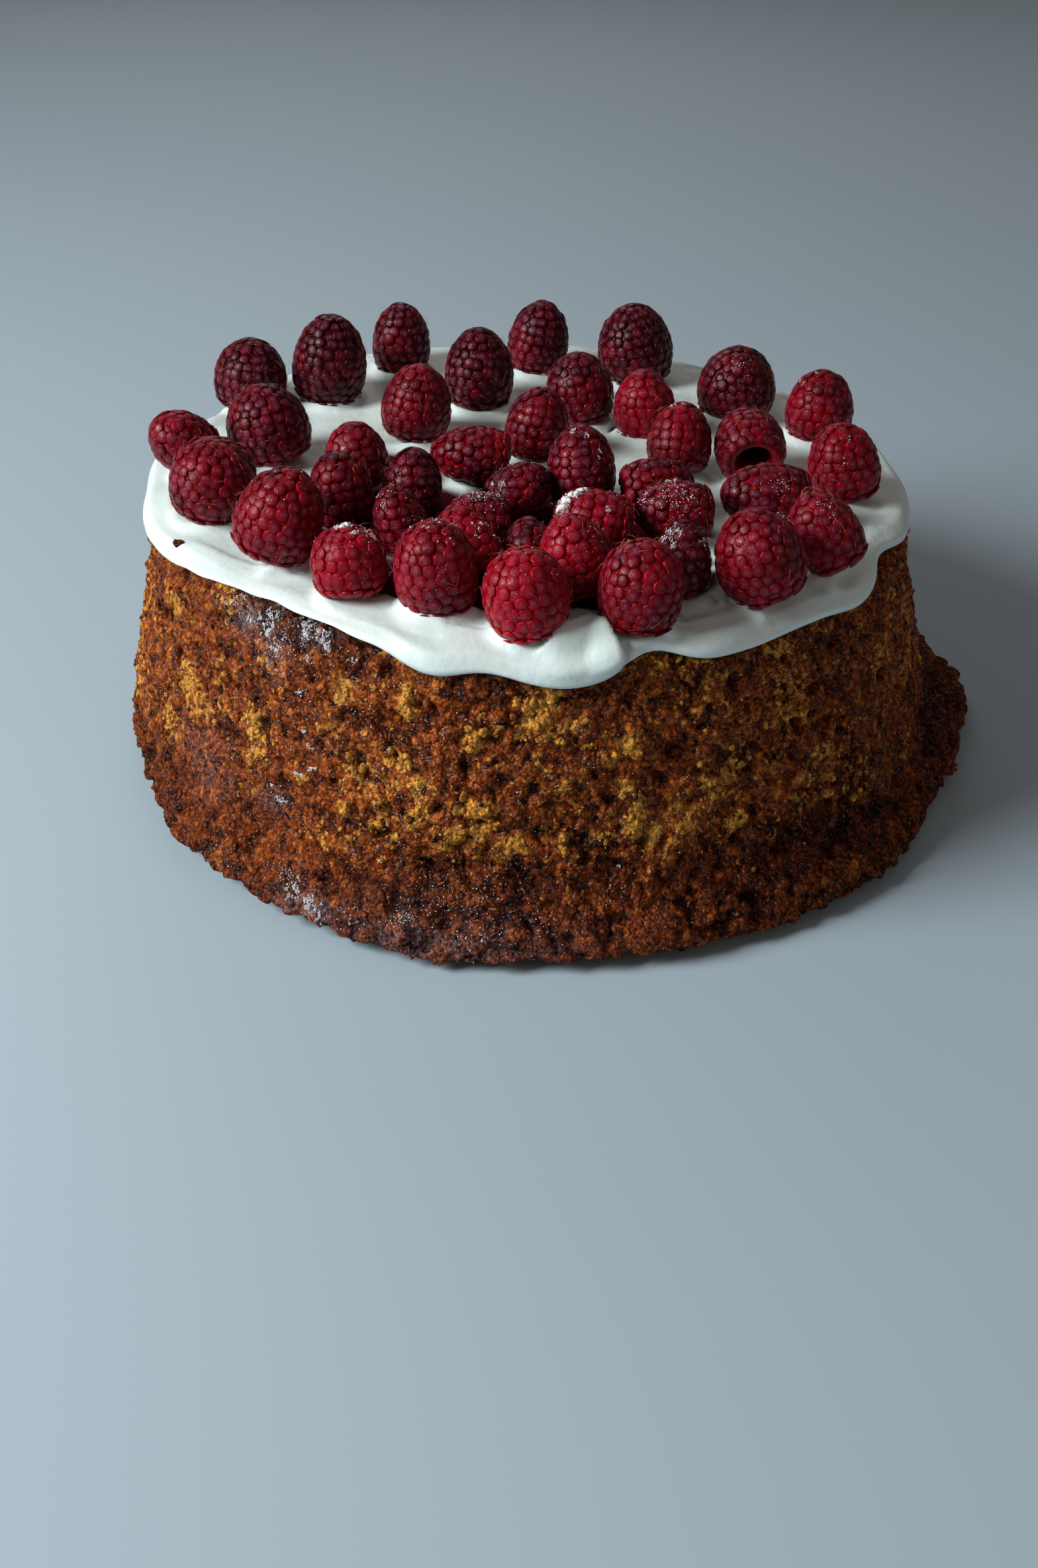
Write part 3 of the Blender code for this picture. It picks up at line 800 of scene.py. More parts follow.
def icing_material():
    """Whipped cream icing: cool white, satin, with a little light passing into it, and darkened and matt
    where berries are heaped, by berry juice and painted shade."""
    made, tree, shader = new_material("cream_icing")
    tone = blend(tree, stretched(tree, noise(tree, 14 * MM, 2), 0.35, 0.65), colour(0.73, 0.885, 0.875),
                 colour(0.77, 0.905, 0.895))
    stain_and_shade = value_of(tree, "stain_and_shade")
    # Near black where berries are heaped: partly berry juice, partly painted shade for the shade that falls
    # between them.
    tone = blend(tree, stain_and_shade, tone, colour(0.05, 0.004, 0.010))
    fill(tree, shader, Base_Color=tone, Normal=bump(tree, noise(tree, 3 * MM, 3), 0.25 * MM),
         Roughness=stretched(tree, stain_and_shade, 0, 1, 0.36, 0.9),
         Specular_IOR_Level=stretched(tree, stain_and_shade, 0, 1, 0.4, 0.0),
         Subsurface_Weight=stretched(tree, stain_and_shade, 0, 1, 0.2, 0.0),
         Subsurface_Radius=(1.0, 0.95, 0.8), Subsurface_Scale=2 * MM)
    return made


def berry_material():
    """Raspberry skin: deep crimson, with painted light making it a clearer red between the drupelets, and a
    pale bloom and painted highlight on their crowns.
    """
    made, tree, shader = new_material("raspberry_skin")
    skin = blend(tree, value_of(tree, "tone"), colour(0.032, 0.0003, 0.0022), colour(0.39, 0.0022, 0.015))
    cloud = stretched(tree, noise(tree, 1.6 * MM, 3), 0.4, 0.7, 0, 0.5)
    skin = blend(tree, cloud, skin, colour(0.55, 0.42, 0.5), "MULTIPLY")
    # Painted light: the gaps between the drupelets are a clearer red, standing in for light glowing through
    # the skin and making up for the shade there.
    skin = blend(tree, value_of(tree, "gap"), skin, colour(1.35, 0.9, 1.0), "MULTIPLY")
    # Painted shade: darkens the inside of an open berry's hole.
    skin = blend(tree, value_of(tree, "hollow"), skin, colour(0.10, 0.05, 0.05), "MULTIPLY")
    fleck = stretched(tree, noise(tree, 0.5 * MM, 3), 0.36, 0.64, 0.1, 1)
    bloom_and_highlight = value_of(tree, "bloom_and_highlight")
    # Pale bloom and a painted highlight: a lilac spot on each drupelet's crown, where the light reflects.
    skin = blend(tree, reckon(tree, "MULTIPLY", bloom_and_highlight, fleck), skin, colour(0.40, 0.085, 0.19))
    glint = reckon(tree, "MULTIPLY", bloom_and_highlight, stretched(tree, noise(tree, 0.45 * MM, 3), 0.54, 0.62))
    fill(tree, shader, Base_Color=skin, Normal=bump(tree, noise(tree, 0.6 * MM, 3), 0.16 * MM),
         Roughness=stretched(tree, glint, 0, 0.6, 0.3, 0.12),
         Specular_IOR_Level=stretched(tree, glint, 0, 0.6, 0.15, 0.9),
         Subsurface_Weight=0.2, Subsurface_Radius=(1.0, 0.1, 0.12), Subsurface_Scale=1.5 * MM)
    return made


def plain_material(name, base, roughness, sheer=0.0):
    made, tree, shader = new_material(name)
    fill(tree, shader, Base_Color=colour(*base), Roughness=roughness, Subsurface_Weight=sheer,
         Subsurface_Scale=0.5 * MM)
    return made


# ---------------------------------------------------------------- the sponge


def crust_slopes(tree):
    """The slopes at which to look out from the heart, so that they meet the crust in even steps: coarse under
    the icing and under the cake, fine on the rim, the wall and the lip."""
    slopes = np.radians(np.linspace(89, -89, 1600))
    ways = [Vector((0, -math.cos(slope), math.sin(slope))) for slope in slopes]
    hits = np.array([tree.ray_cast(HEART, way)[0] for way in ways])
    along = arc_lengths(hits)
    (_, _, floor), (_, _, top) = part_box("sponge")
    hidden = (hits[:, 2] > top - 0.3 * MM) & (-hits[:, 1] < COARSE_WITHIN)
    shown = np.flatnonzero((hits[:, 2] > floor + 0.2 * MM) & ~hidden)
    start, end = along[shown[0]], along[shown[-1]]
    fine = np.linspace(start, end, int((end - start) / CRUST_STEP))
    over = np.linspace(along[1], start, TOP_ROWS, endpoint=False)
    under = np.linspace(end, along[-2], UNDER_ROWS + 1)[1:]
    return np.interp(np.concatenate([over, fine, under]), along, slopes)


def crust_base():
    """The solid sponge's surface as even rows of points, with its facets smoothed away."""
    tree = tree_of(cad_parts["sponge"])
    slopes = crust_slopes(tree)[:, None]
    turns = (np.arange(SPONGE_COLUMNS) / SPONGE_COLUMNS * math.tau)[None]
    ways = turned(np.cos(slopes), turns, np.sin(slopes))
    reach = np.array([[tree.ray_cast(HEART, Vector(way))[3] for way in row] for row in ways])
    points = np.array(HEART) + ways * blurred(reach, 2)[..., None]
    points[..., 2] = np.clip(points[..., 2], 0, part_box("sponge")[1][2])
    return points


def patch_cover(points, patches):
    """How fully the patches cover each point."""
    azimuth = np.degrees(np.arctan2(points[..., 1], points[..., 0]))
    radius = from_axis(points)
    cover = np.zeros(radius.shape)
    for heading, height, half_width, half_height, amount in patches:
        aside = np.radians(turn_apart(azimuth, heading)) * radius / (half_width * MM)
        above = (points[..., 2] - height * MM) / (half_height * MM)
        cover = np.maximum(cover, amount * np.exp(-(aside ** 2 + above ** 2)))
    return cover


def crust_values(points):
    """How much pale crumb shows at each point of the crust, how dark it is, baked and on the lower right also
    painted shade, and how dusty it is.
    """
    bent = points + 2.5 * MM * soft_shift(points, 6 * MM, 5)
    height = bent[..., 2]
    sprinkled = np.clip(PALE_SHARE + PALE_SPREAD * soft_noise(points, 10 * MM, 8), 0, 1)
    gold = np.maximum(patch_cover(bent, GOLD_PATCHES), sprinkled * smooth_step(12 * MM, 24 * MM, height))
    spots = SPOT_SCORCH * smooth_step(0.1, 0.8, soft_noise(points, 13 * MM, 9))
    foot = FOOT_SCORCH * smooth_step(20 * MM, 13 * MM, height)
    scorch_and_shade = np.maximum(np.maximum(patch_cover(bent, DARK_PATCHES), spots), foot)
    return gold, scorch_and_shade, patch_cover(bent, DUST_PATCHES)


def build_sponge(finish):
    """The crust, with grains of two sizes, pits and cracks; gives back its rows of points."""
    base = crust_base()
    normals = grid_normals(base)
    height = base[..., 2]
    gold, scorch_and_shade, dust = crust_values(base)
    warped = base + 1.1 * MM * soft_shift(base, 3 * MM, 1)
    grain, number = cell_noise(warped, GRAIN_SIZE * MM, 11)
    small, small_number = cell_noise(warped, SMALL_SIZE * MM, 21)
    pit, pit_number = cell_noise(warped, PIT_SIZE * MM, 31)
    lump = soft_noise(base, LUMP_SIZE * MM, 41)
    crown = np.clip(1 - 1.6 * grain ** 2, 0, 1) * (0.1 + 0.9 * number)
    little = np.clip(1 - 1.6 * small ** 2, 0, 1) * (0.2 + 0.8 * small_number)
    hole = smooth_step(0.42, 0.1, pit) * (pit_number > 0.55)
    seam = smooth_step(0.16, 0.02, np.abs(soft_noise(warped, 5 * MM, 51)))
    crack = seam * (soft_noise(base, 11 * MM, 52) > 0)
    relief = (GRAIN_RISE * crown + SMALL_RISE * little - PIT_FALL * hole - CRACK_FALL * crack
              + LUMP_RISE * lump + PALE_RISE * gold - WHOLE_FALL)
    relief += FOOT_ROUGHNESS * soft_noise(base, 4 * MM, 53) * smooth_step(24 * MM, 16 * MM, height)
    underside = height < 0.3 * MM
    smooth = underside | (from_axis(base) < SMOOTH_WITHIN)
    points = kept_in_box(base + normals * np.where(smooth, -0.2, relief)[..., None] * MM)
    points[..., 2] = np.where(underside, 0, points[..., 2])
    # Painted shade and darker crumb in the pits and cracks: the deeper they sink, the darker.
    hollow = smooth_step(-0.4, -1.7, relief - LUMP_RISE * lump)
    poles = [(0, 0, points[0, :, 2].mean()), (0, 0, 0)]
    values = {"gold": gold, "hollow": hollow, "scorch_and_shade": scorch_and_shade, "dust": dust}
    dress(turned_object("sponge_crust", points, poles, values), finish, "sponge")
    return points


def ball_shape(rounds):
    """A twenty-sided ball, with its faces split in four in each round: its points and faces."""
    turns = np.arange(5) / 5 * math.tau
    ring = 2 / math.sqrt(5)
    upper = turned(ring, turns, ring / 2)
    lower = turned(ring, turns + math.pi / 5, -ring / 2)
    points = [tuple(point) for point in np.concatenate([[(0, 0, 1)], upper, lower, [(0, 0, -1)]])]
    faces = []
    for k in range(5):
        after = (k + 1) % 5
        faces += [(0, 1 + k, 1 + after), (1 + k, 6 + k, 1 + after), (6 + k, 6 + after, 1 + after)]
        faces.append((11, 6 + after, 6 + k))
    for _ in range(rounds):
        middles = {}

        def halfway(a, b):
            """The number of the point halfway between two others."""
            pair = (min(a, b), max(a, b))
            if pair not in middles:
                half = np.array(points[a]) + np.array(points[b])
                points.append(tuple(half / np.linalg.norm(half)))
                middles[pair] = len(points) - 1
            return middles[pair]

        faces = [
            face
            for a, b, c in faces
            for face in ((a, halfway(a, b), halfway(c, a)), (b, halfway(b, c), halfway(a, b)),
                         (c, halfway(c, a), halfway(b, c)), (halfway(a, b), halfway(b, c), halfway(c, a)))
        ]
    return np.array(points), [np.array(faces)]


def grain_shape():
    """An eight-sided grain: its points and faces."""
    points = np.array([(1, 0, 0), (0, 1, 0), (-1, 0, 0), (0, -1, 0), (0, 0, 1), (0, 0, -1)], dtype=float)
    faces = [(k, (k + 1) % 4, 4) for k in range(4)] + [((k + 1) % 4, k, 5) for k in range(4)]
    return points, [np.array(faces)]


def scatter_lumps(shape, places, normals, sizes, rng, squash, ragged):
    """Lumps of that shape at those places, squashed towards the surface and ragged by those shares: their
    points, and the faces."""
    points, groups = shape
    side, other = ways_across(normals, rng)
    stretch = rng.uniform(0.75, 1.3, (len(places), 1, 3))
    own = points[None] * stretch * (1 + rng.uniform(-ragged, ragged, (len(places), len(points), 1)))
    made = stood_along(own * (1, 1, squash), side, other, normals)
    return places[:, None] + made * sizes[:, None, None], repeated(groups, len(points), len(places))


def build_crumbs(name, crust, finish, count, gold_only, brown_share, sizes, rounds, seed):
    """Half-torn crumbs on the crust, each sunk in it: pale ones where pale crumb shows, and brown ones."""
    rng = np.random.default_rng(seed)
    normals = grid_normals(crust)
    gold, scorch_and_shade, dust = crust_values(crust)
    across, down = np.roll(crust, -1, 1) - crust, np.gradient(crust, axis=0)
    area = np.linalg.norm(across, axis=-1) * np.linalg.norm(down, axis=-1)
    shown = (crust[..., 2] > 1.2 * MM) & (from_axis(crust) > BARE_WITHIN)
    chance = area * shown * (np.clip(gold - 0.25, 0, 1) ** 1.5 if gold_only else 1 + np.clip(gold, 0, 1))
    picked = rng.choice(chance.size, count, p=(chance / chance.sum()).ravel())
    places, ways = crust.reshape(-1, 3)[picked], normals.reshape(-1, 3)[picked]
    gold, scorch_and_shade, dust = np.clip(gold.ravel()[picked], 0, 1), scorch_and_shade.ravel()[picked], dust.ravel()[picked]
    draws = rng.uniform(0, 1, count)
    pale = draws >= brown_share if gold_only else draws < gold * (1 - brown_share)
    low, high = sizes
    sizes = (low + (high - low) * rng.uniform(0, 1, count) ** 2.2) * MM
    side, _ = ways_across(ways, rng)
    places = places + side * rng.uniform(-0.4, 0.4, (count, 1)) * MM
    places = places + ways * (sizes * rng.uniform(-0.55, 0.1, count))[:, None]
    points, faces = scatter_lumps(ball_shape(rounds), places, ways, sizes, rng, squash=0.7, ragged=0.28)
    each = points.shape[1]
    values = {
        "gold": np.repeat(np.where(pale, 1.2, 0.15), each),
        "scorch_and_shade": np.repeat(np.where(pale, 0, scorch_and_shade), each),
        "dust": np.repeat(dust, each),
        "hollow": np.zeros(count * each),
    }
    points[..., 2] = np.maximum(points[..., 2], 0.1 * MM)
    add_piece(name, points, faces, finish, values)


# ---------------------------------------------------------------- the raspberries


def berry_taper(number):
    return BLUNT_TAPER if number in BLUNT_BERRIES else BERRY_TAPER


def berry_width_at(share, taper):
    """Half width of a raspberry, as a share of its greatest, at a share of its length from base to tip."""
    share = np.clip(share, 0, 1)
    low = 1 - (1 - BERRY_BASE_SHARE) * (np.clip(BERRY_WIDEST - share, 0, 1) / BERRY_WIDEST) ** 2
    beyond = np.clip((share - BERRY_WIDEST) / (1 - BERRY_WIDEST), 0, 1)
    return np.where(share < BERRY_WIDEST, low, (1 - beyond ** taper) ** BERRY_BLUNTNESS)


def berry_turn(heading, lean):
    """Turns a berry that stands on its base so that its tip leans towards the heading, both in degrees."""
    leant = Euler((0, math.radians(lean), 0)).to_matrix()
    return np.array(Matrix.Rotation(math.radians(heading), 3, "Z") @ leant)


def berry_outline(length, width, taper):
    """The line over the drupelets' crowns as (radius, height), from the tip to the base and round its corner,
    and which way is out."""
    share = np.linspace(1, 0, 400)
    line = np.stack([berry_width_at(share, taper) * width / 2, (share - 0.5) * length], 1)
    line = line[line[:, 1] > BERRY_CORNER - length / 2]
    bends = np.radians(np.linspace(0, BERRY_CORNER_TURN, 30))[1:, None]
    middle = line[-1] - (BERRY_CORNER, 0)
    line = np.concatenate([line, middle + BERRY_CORNER * np.concatenate([np.cos(bends), -np.sin(bends)], 1)])
    slope = np.gradient(line, axis=0)
    out = np.stack([-slope[:, 1], slope[:, 0]], 1)
    return line, out / np.linalg.norm(out, axis=1, keepdims=True)


def drupelet_crowns(line, out, rng):
    """The crowns of a berry's drupelets in staggered rows, and which way each faces."""
    along = arc_lengths(line)
    rows = int(round(along[-1] / (DRUPELET_ROW_SHARE * DRUPELET_SPACING)))
    crowns, ways = [(0, 0, line[0, 1])], [(0, 0, 1)]
    for row in range(1, rows + 1):
        stop = along[-1] * row / rows
        radius, height = (np.interp(stop, along, line[:, k]) for k in (0, 1))
        aside, up = (np.interp(stop, along, out[:, k]) for k in (0, 1))
        count = max(5, int(round(math.tau * radius / DRUPELET_SPACING)))
        turns = (np.arange(count) + 0.5 * (row % 2) + rng.uniform(-0.2, 0.2, count)) / count * math.tau
        for turn, shift in zip(turns, rng.uniform(-0.5, 0.5, count) * MM):
            crowns.append((radius * math.cos(turn), radius * math.sin(turn), height + shift * aside))
            ways.append((aside * math.cos(turn), aside * math.sin(turn), up))
    return np.array(crowns), np.array(ways)


def dome_shape():
    """A drupelet's dome with its crown at the origin: points, faces, how deep in the gap each point is, and
    how much of the crown's pale bloom and painted highlight it has."""
    bends = np.radians(DOME_BENDS)[:, None]
    turns = (np.arange(DOME_SIDES) / DOME_SIDES * math.tau)[None]
    fall = DRUPELET_FLATNESS * (np.cos(bends) - 1)
    rings = turned(np.sin(bends), turns, fall)
    points = np.concatenate([rings.reshape(-1, 3), [(0, 0, 0), (0, 0, fall[-1, 0] - 0.2)]])
    depth = np.concatenate([np.repeat(DOME_GAPS, DOME_SIDES), [0, 1]])
    bloom_and_highlight = np.concatenate([np.repeat(DOME_BLOOM_AND_HIGHLIGHT, DOME_SIDES), [1, 0]])
    return points, turned_faces(len(DOME_BENDS), DOME_SIDES), depth, bloom_and_highlight


def core_rows(line, out, hollow, length):
    """The berry's body inside its drupelets, as (radius, height) from the tip to the middle of the base, and
    how much painted shade darkens each row, more the deeper in its hole. A hollow berry's goes up into its
    hole."""
    inner = line - out * CORE_DEPTH
    inner = inner[inner[:, 0] > 0.2 * MM]
    inner = inner[np.linspace(0, len(inner) - 1, CORE_ROWS).astype(int)]
    radius, base = inner[-1]
    if not hollow:
        under = np.array([(radius * 0.7, base - 0.2 * MM), (0.2 * MM, base - 0.2 * MM)])
        return np.concatenate([inner, under]), np.zeros(len(inner) + 2)
    beside, deep, hole_shade = np.array(HOLE).T
    hole = np.stack([radius * beside, base + length * deep], 1)
    return np.concatenate([inner, hole]), np.concatenate([np.zeros(len(inner)), hole_shade])


def berry_parts(number, length, width, hollow, tone_and_shade):
    """A raspberry about its own middle: its points, the faces, the values of its skin, and the crowns."""
    rng = np.random.default_rng(100 + number)
    line, out = berry_outline(length, width, berry_taper(number))
    crowns, ways = drupelet_crowns(line, out, rng)
    shape, dome_faces, depth, dome_bloom_and_highlight = dome_shape()
    count, each = len(crowns), len(shape)
    side, other = ways_across(ways, rng)
    sizes = DRUPELET_RADIUS * rng.uniform(*DRUPELET_SIZES, count)
    crowns = crowns + ways * rng.uniform(-0.14, 0.0, (count, 1)) * MM
    domes = crowns[:, None] + stood_along(shape, side, other, ways) * sizes[:, None, None]
    rows, hole_shade = core_rows(line, out, hollow, length)
    turns = (np.arange(CORE_SIDES) / CORE_SIDES * math.tau)[None]
    core = turned(rows[:, :1], turns, rows[:, 1:])
    poles = [core[0].mean(0), core[-1].mean(0)]
    points = np.concatenate([core.reshape(-1, 3), poles, domes.reshape(-1, 3)])
    body = len(rows) * CORE_SIDES + 2
    groups = turned_faces(len(rows), CORE_SIDES) + repeated(dome_faces, each, count, body)
    # Painted shade: the berries at the back and in the heaps get darker tones, besides their own tone.
    tones = tone_and_shade + TONE_SPREAD * rng.uniform(-1, 1, count)
    tones += TONE_DRIFT * soft_noise(crowns, 7 * MM, 71 + number)
    bloom_and_highlight = np.clip(0.6 + 0.5 * soft_noise(crowns, 6 * MM, 81 + number), 0.1, 1)
    values = {
        "tone": np.concatenate([np.full(body, tone_and_shade + 0.25 * hollow), np.repeat(tones, each)]).clip(0, 1),
        "gap": np.concatenate([np.ones(body), np.tile(depth, count)]),
        # Painted shade inside an open berry's hole, the deeper the darker.
        "hollow": np.concatenate([np.repeat(hole_shade, CORE_SIDES), (0, hollow), np.zeros(each * count)]),
        "bloom_and_highlight": np.concatenate([np.zeros(body), np.repeat(bloom_and_highlight, each) * np.tile(dome_bloom_and_highlight, count)]),
    }
    return points, groups, values, crowns, ways


def berry_middle(number):
    low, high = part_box(f"raspberry_{number:02d}")
    return (np.array(low) + np.array(high)) / 2


def build_berry(number, heading, lean, length, width, tone_and_shade, finish):
    """One raspberry in its solid's place; gives back its object, and its crowns with the way each faces."""
    parts = berry_parts(number, length * MM, width * MM, lean > OPEN_LEAN, tone_and_shade)
    points, groups, values, crowns, ways = parts
    turn = berry_turn(heading, lean)
    points = points @ turn.T
    shift = berry_middle(number) - (points.max(0) + points.min(0)) / 2
    obj = mesh_object(f"raspberry_skin_{number:02d}", kept_in_box(points + shift), groups, values)
    dress(obj, finish, f"raspberry_{number:02d}")
    return obj, crowns @ turn.T + shift, ways @ turn.T


def build_hairs(crowns, ways, finish):
    """The fine hairs that stand between and on the drupelets, bent over the berry."""
    rng = np.random.default_rng(29)
    picked = (rng.uniform(0, 1, len(crowns)) < HAIR_SHARE) & (crowns[:, 2] < CAD_BOX[1][2] - 3 * MM)
    crowns, ways = crowns[picked], ways[picked]
    count = len(crowns)
    side, other = ways_across(ways, rng)
    starts = crowns + side * rng.uniform(0, 1.3, (count, 1)) * MM - ways * 0.3 * MM
    lengths = rng.uniform(*HAIR_LENGTH, (count, 1))
    lean = side * rng.uniform(0.6, 1.1, (count, 1)) + other * rng.uniform(-0.4, 0.4, (count, 1))
    rows = []
    for share, thin in HAIR_RINGS:
        centre = starts + lengths * (0.26 * ways * share * (1.6 - share) + 0.7 * lean * share ** 1.1)
        for corner in range(3):
            bend = corner * math.tau / 3
            rows.append(centre + HAIR_RADIUS * thin * (side * math.cos(bend) + ways * math.sin(bend)))
    points = np.stack(rows, 1)
    edges = [(3 * ring + k, 3 * ring + (k + 1) % 3) for ring in range(3) for k in range(3)]
    sides = [(here, here + 3, after + 3, after) for here, after in edges]
    ends = [(0, 1, 2), (11, 10, 9)]
    faces = repeated([np.array(sides), np.array(ends)], 12, count)
    add_piece("raspberry_hairs", points, faces, finish)


def berry_distances(points):
    """How far each point is from the nearest raspberry and from the next nearest, in millimetres."""
    nearest = np.full((2, *points.shape[:-1]), np.inf)
    for number, (heading, lean, length, width, _) in enumerate(BERRIES, 1):
        own = (points - berry_middle(number)) @ berry_turn(heading, lean) / MM
        half_width = width / 2 * berry_width_at(own[..., 2] / length + 0.5, berry_taper(number))
        aside = from_axis(own) - half_width
        beyond = np.abs(own[..., 2]) - length / 2
        apart = np.hypot(np.clip(aside, 0, None), np.clip(beyond, 0, None))
        nearest = np.sort(np.concatenate([nearest, apart[None]]), axis=0)[:2]
    return nearest


# ---------------------------------------------------------------- the icing


def edge_slopes(turns):
    """How far down the solid icing's edge lies at each turn, as a slope seen from the heart."""
    points = np.array([vertex.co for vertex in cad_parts["icing"].data.vertices])
    radius = from_axis(points)
    slope = np.arctan2(points[:, 2] - HEART.z, radius)
    share_round = np.arctan2(points[:, 1], points[:, 0]) / math.tau
    places = np.round(share_round * EDGE_PLACES).astype(int) % EDGE_PLACES
    outer = radius > EDGE_BEYOND
    lowest = np.array([slope[(places == k) & outer].min() for k in range(EDGE_PLACES)])
    waves = np.zeros(len(turns) // 2 + 1, dtype=complex)
    waves[:EDGE_WAVES] = np.fft.rfft(lowest)[:EDGE_WAVES]
    return np.fft.irfft(waves, len(turns)) * len(turns) / EDGE_PLACES


def knife_lift(points, edge_radius, turns):
    """How far the palette knife's strokes lift the icing."""
    azimuth = np.degrees(turns)[None, :]
    inward = (edge_radius[None, :] - from_axis(points)) / MM
    lift = np.zeros(points.shape[:2])
    for start, end, from_edge, to_edge, height, inner, outer in KNIFE_STROKES:
        share = turn_apart(azimuth, start) / (end - start)
        middle = from_edge + (to_edge - from_edge) * share + 0.5 * np.sin(5 * share + start)
        window = smooth_step(-0.12, 0.15, share) * smooth_step(1.12, 0.85, share)
        side = inward - middle
        lift += height * MM * window * np.exp(-np.where(side > 0, side / inner, side / outer) ** 2)
    return lift


def peak_lift(points):
    """How far the peak lifts the icing, and the cleft beside it sinks it."""
    place_on_top = points[..., :2] / MM

    def behind(start, end):
        """How far each point lies behind the line from one place to the other."""
        along = np.array(end) - start
        across = np.array((-along[1], along[0])) / np.hypot(*along)
        return (place_on_top - start) @ across

    outside = np.maximum(behind(PEAK_LEFT, PEAK_TIP), behind(PEAK_TIP, PEAK_RIGHT))
    fall = np.where(outside > 0, outside / PEAK_BEHIND, outside / PEAK_BEFORE)
    apart = np.linalg.norm(place_on_top - PEAK_TIP, axis=-1)
    peak = PEAK_HEIGHT * np.exp(-fall ** 2 - (apart / PEAK_SPAN) ** 4)
    along = np.array(CLEFT_END) - CLEFT_START
    share = np.clip((place_on_top - CLEFT_START) @ along / (along @ along), 0, 1)
    aside = np.linalg.norm(place_on_top - CLEFT_START - share[..., None] * along, axis=-1)
    return (peak - CLEFT_DEPTH * np.exp(-(aside / CLEFT_WIDTH) ** 2)) * MM


def thin_share(turns):
    """How fully the icing's edge is the thin and ragged one of the left side, at each turn."""
    begin, full, no_longer_full, end = THIN_EDGE
    degrees = np.degrees(turns)
    return smooth_step(begin, full, degrees) * smooth_step(end, no_longer_full, degrees)


def icing_base(turns):
    """The solid icing's top and bead as even rows of points, and the radius of its edge."""
    tree = tree_of(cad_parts["icing"])
    round_it = turned(1.0, turns)[:, :2]
    around = turned(1.0, turns) * 105 * MM
    jags = np.clip(0.3 + soft_noise(around, 6 * MM, 97) + 0.5 * soft_noise(around, 2.6 * MM, 98), -0.2, 1.2)
    slopes = edge_slopes(turns) + np.radians(0.35 + 0.9 * jags * thin_share(turns))
    edge = np.zeros(len(turns))
    for k, slope in enumerate(slopes):
        hit = seen_towards_heart(tree, round_it[k], slope)
        edge[k] = math.hypot(hit.x, hit.y) if hit else edge[k - 1]
    start = edge - BEAD
    shares = np.linspace(0.02, 1, int(start.mean() / ICING_STEP))[:, None]
    flat = np.zeros((len(shares), len(turns), 3))
    flat[..., :2] = round_it[None] * (start * shares)[..., None]
    flat[..., 2] = [[seen_from_above([tree], x, y)[0].z for x, y in row] for row in flat[..., :2]]
    first = np.arctan2(flat[-1, :, 2] - HEART.z, start)
    bead = []
    for share in np.linspace(0, 1, BEAD_ROWS)[1:]:
        row = []
        for k, slope in enumerate(first + (slopes - first) * share):
            hit = seen_towards_heart(tree, round_it[k], slope)
            found = hit and math.hypot(hit.x, hit.y) > EDGE_BEYOND
            row.append(hit if found else (bead or [flat[-1]])[-1][k])
        bead.append(np.array(row))
    flat[..., 2] = blurred(flat[..., 2], 3)
    return np.concatenate([flat, blurred(np.array(bead), 3, down=False)]), edge


def build_icing(finish):
    """The icing, lifted by the knife and towards each berry, beaded at its edge, and darkened in the heaps by
    berry juice and painted shade.
    """
    turns = np.arange(ICING_COLUMNS) / ICING_COLUMNS * math.tau
    points, edge = icing_base(turns)
    outwards = turned(1.0, turns)
    tuck = [points[-1] + (aside * outwards + (0, 0, up)) * MM for aside, up in EDGE_TUCK]
    points = np.concatenate([points, np.array(tuck)])
    near, next_near = berry_distances(points)
    x, y = points[..., 0] / MM, points[..., 1] / MM
    apart = [np.hypot((x - at_x) / reach_x, (y - at_y) / reach_y) for at_x, at_y, reach_x, reach_y in HEAPS]
    in_heap = smooth_step(1.15, 0.9, np.min(apart, 0)) * smooth_step(16.0, 10.0, next_near)
    tight = np.maximum(smooth_step(4.0, 2.0, next_near), in_heap)
    lift = knife_lift(points, edge, turns) + peak_lift(points)
    lift += (CLIMB * np.exp(-(near / CLIMB_REACH) ** 2) * (1 - tight) - HEAP_SINK * tight) * MM
    lift += soft_noise(points, 7 * MM, 93) * 0.2 * MM + soft_noise(points, 16 * MM, 94) * 0.3 * MM
    bead = np.arange(len(points)) - (len(points) - BEAD_ROWS - 2)
    thick = 1 + 0.9 * soft_noise(outwards * 100 * MM, 14 * MM, 95) - 1.1 * thin_share(turns)
    lift += BEAD_BULGE * thick * np.sin(np.clip(bead / BEAD_ROWS, 0, 1) * math.pi)[:, None]
    fade = np.ones(len(points))
    fade[-len(EDGE_FADE):] = EDGE_FADE
    points = kept_in_box(points + grid_normals(points) * (lift * fade[:, None])[..., None])
    poles = [(0, 0, points[0, :, 2].mean()), (0, 0, points[-1, :, 2].mean())]
    # Berry juice and painted shade close to the berries, where they stand tight or heaped and shade falls.
    juice_and_shade = np.maximum(tight * smooth_step(6.0, 3.0, near), in_heap * smooth_step(10.0, 7.0, near))
    values = {"stain_and_shade": smooth_step(0.05, 0.7, juice_and_shade + 0.1 * soft_noise(points, 4 * MM, 96))}
    dress(turned_object("icing_cream", points, poles, values), finish, "icing")


# ---------------------------------------------------------------- icing sugar


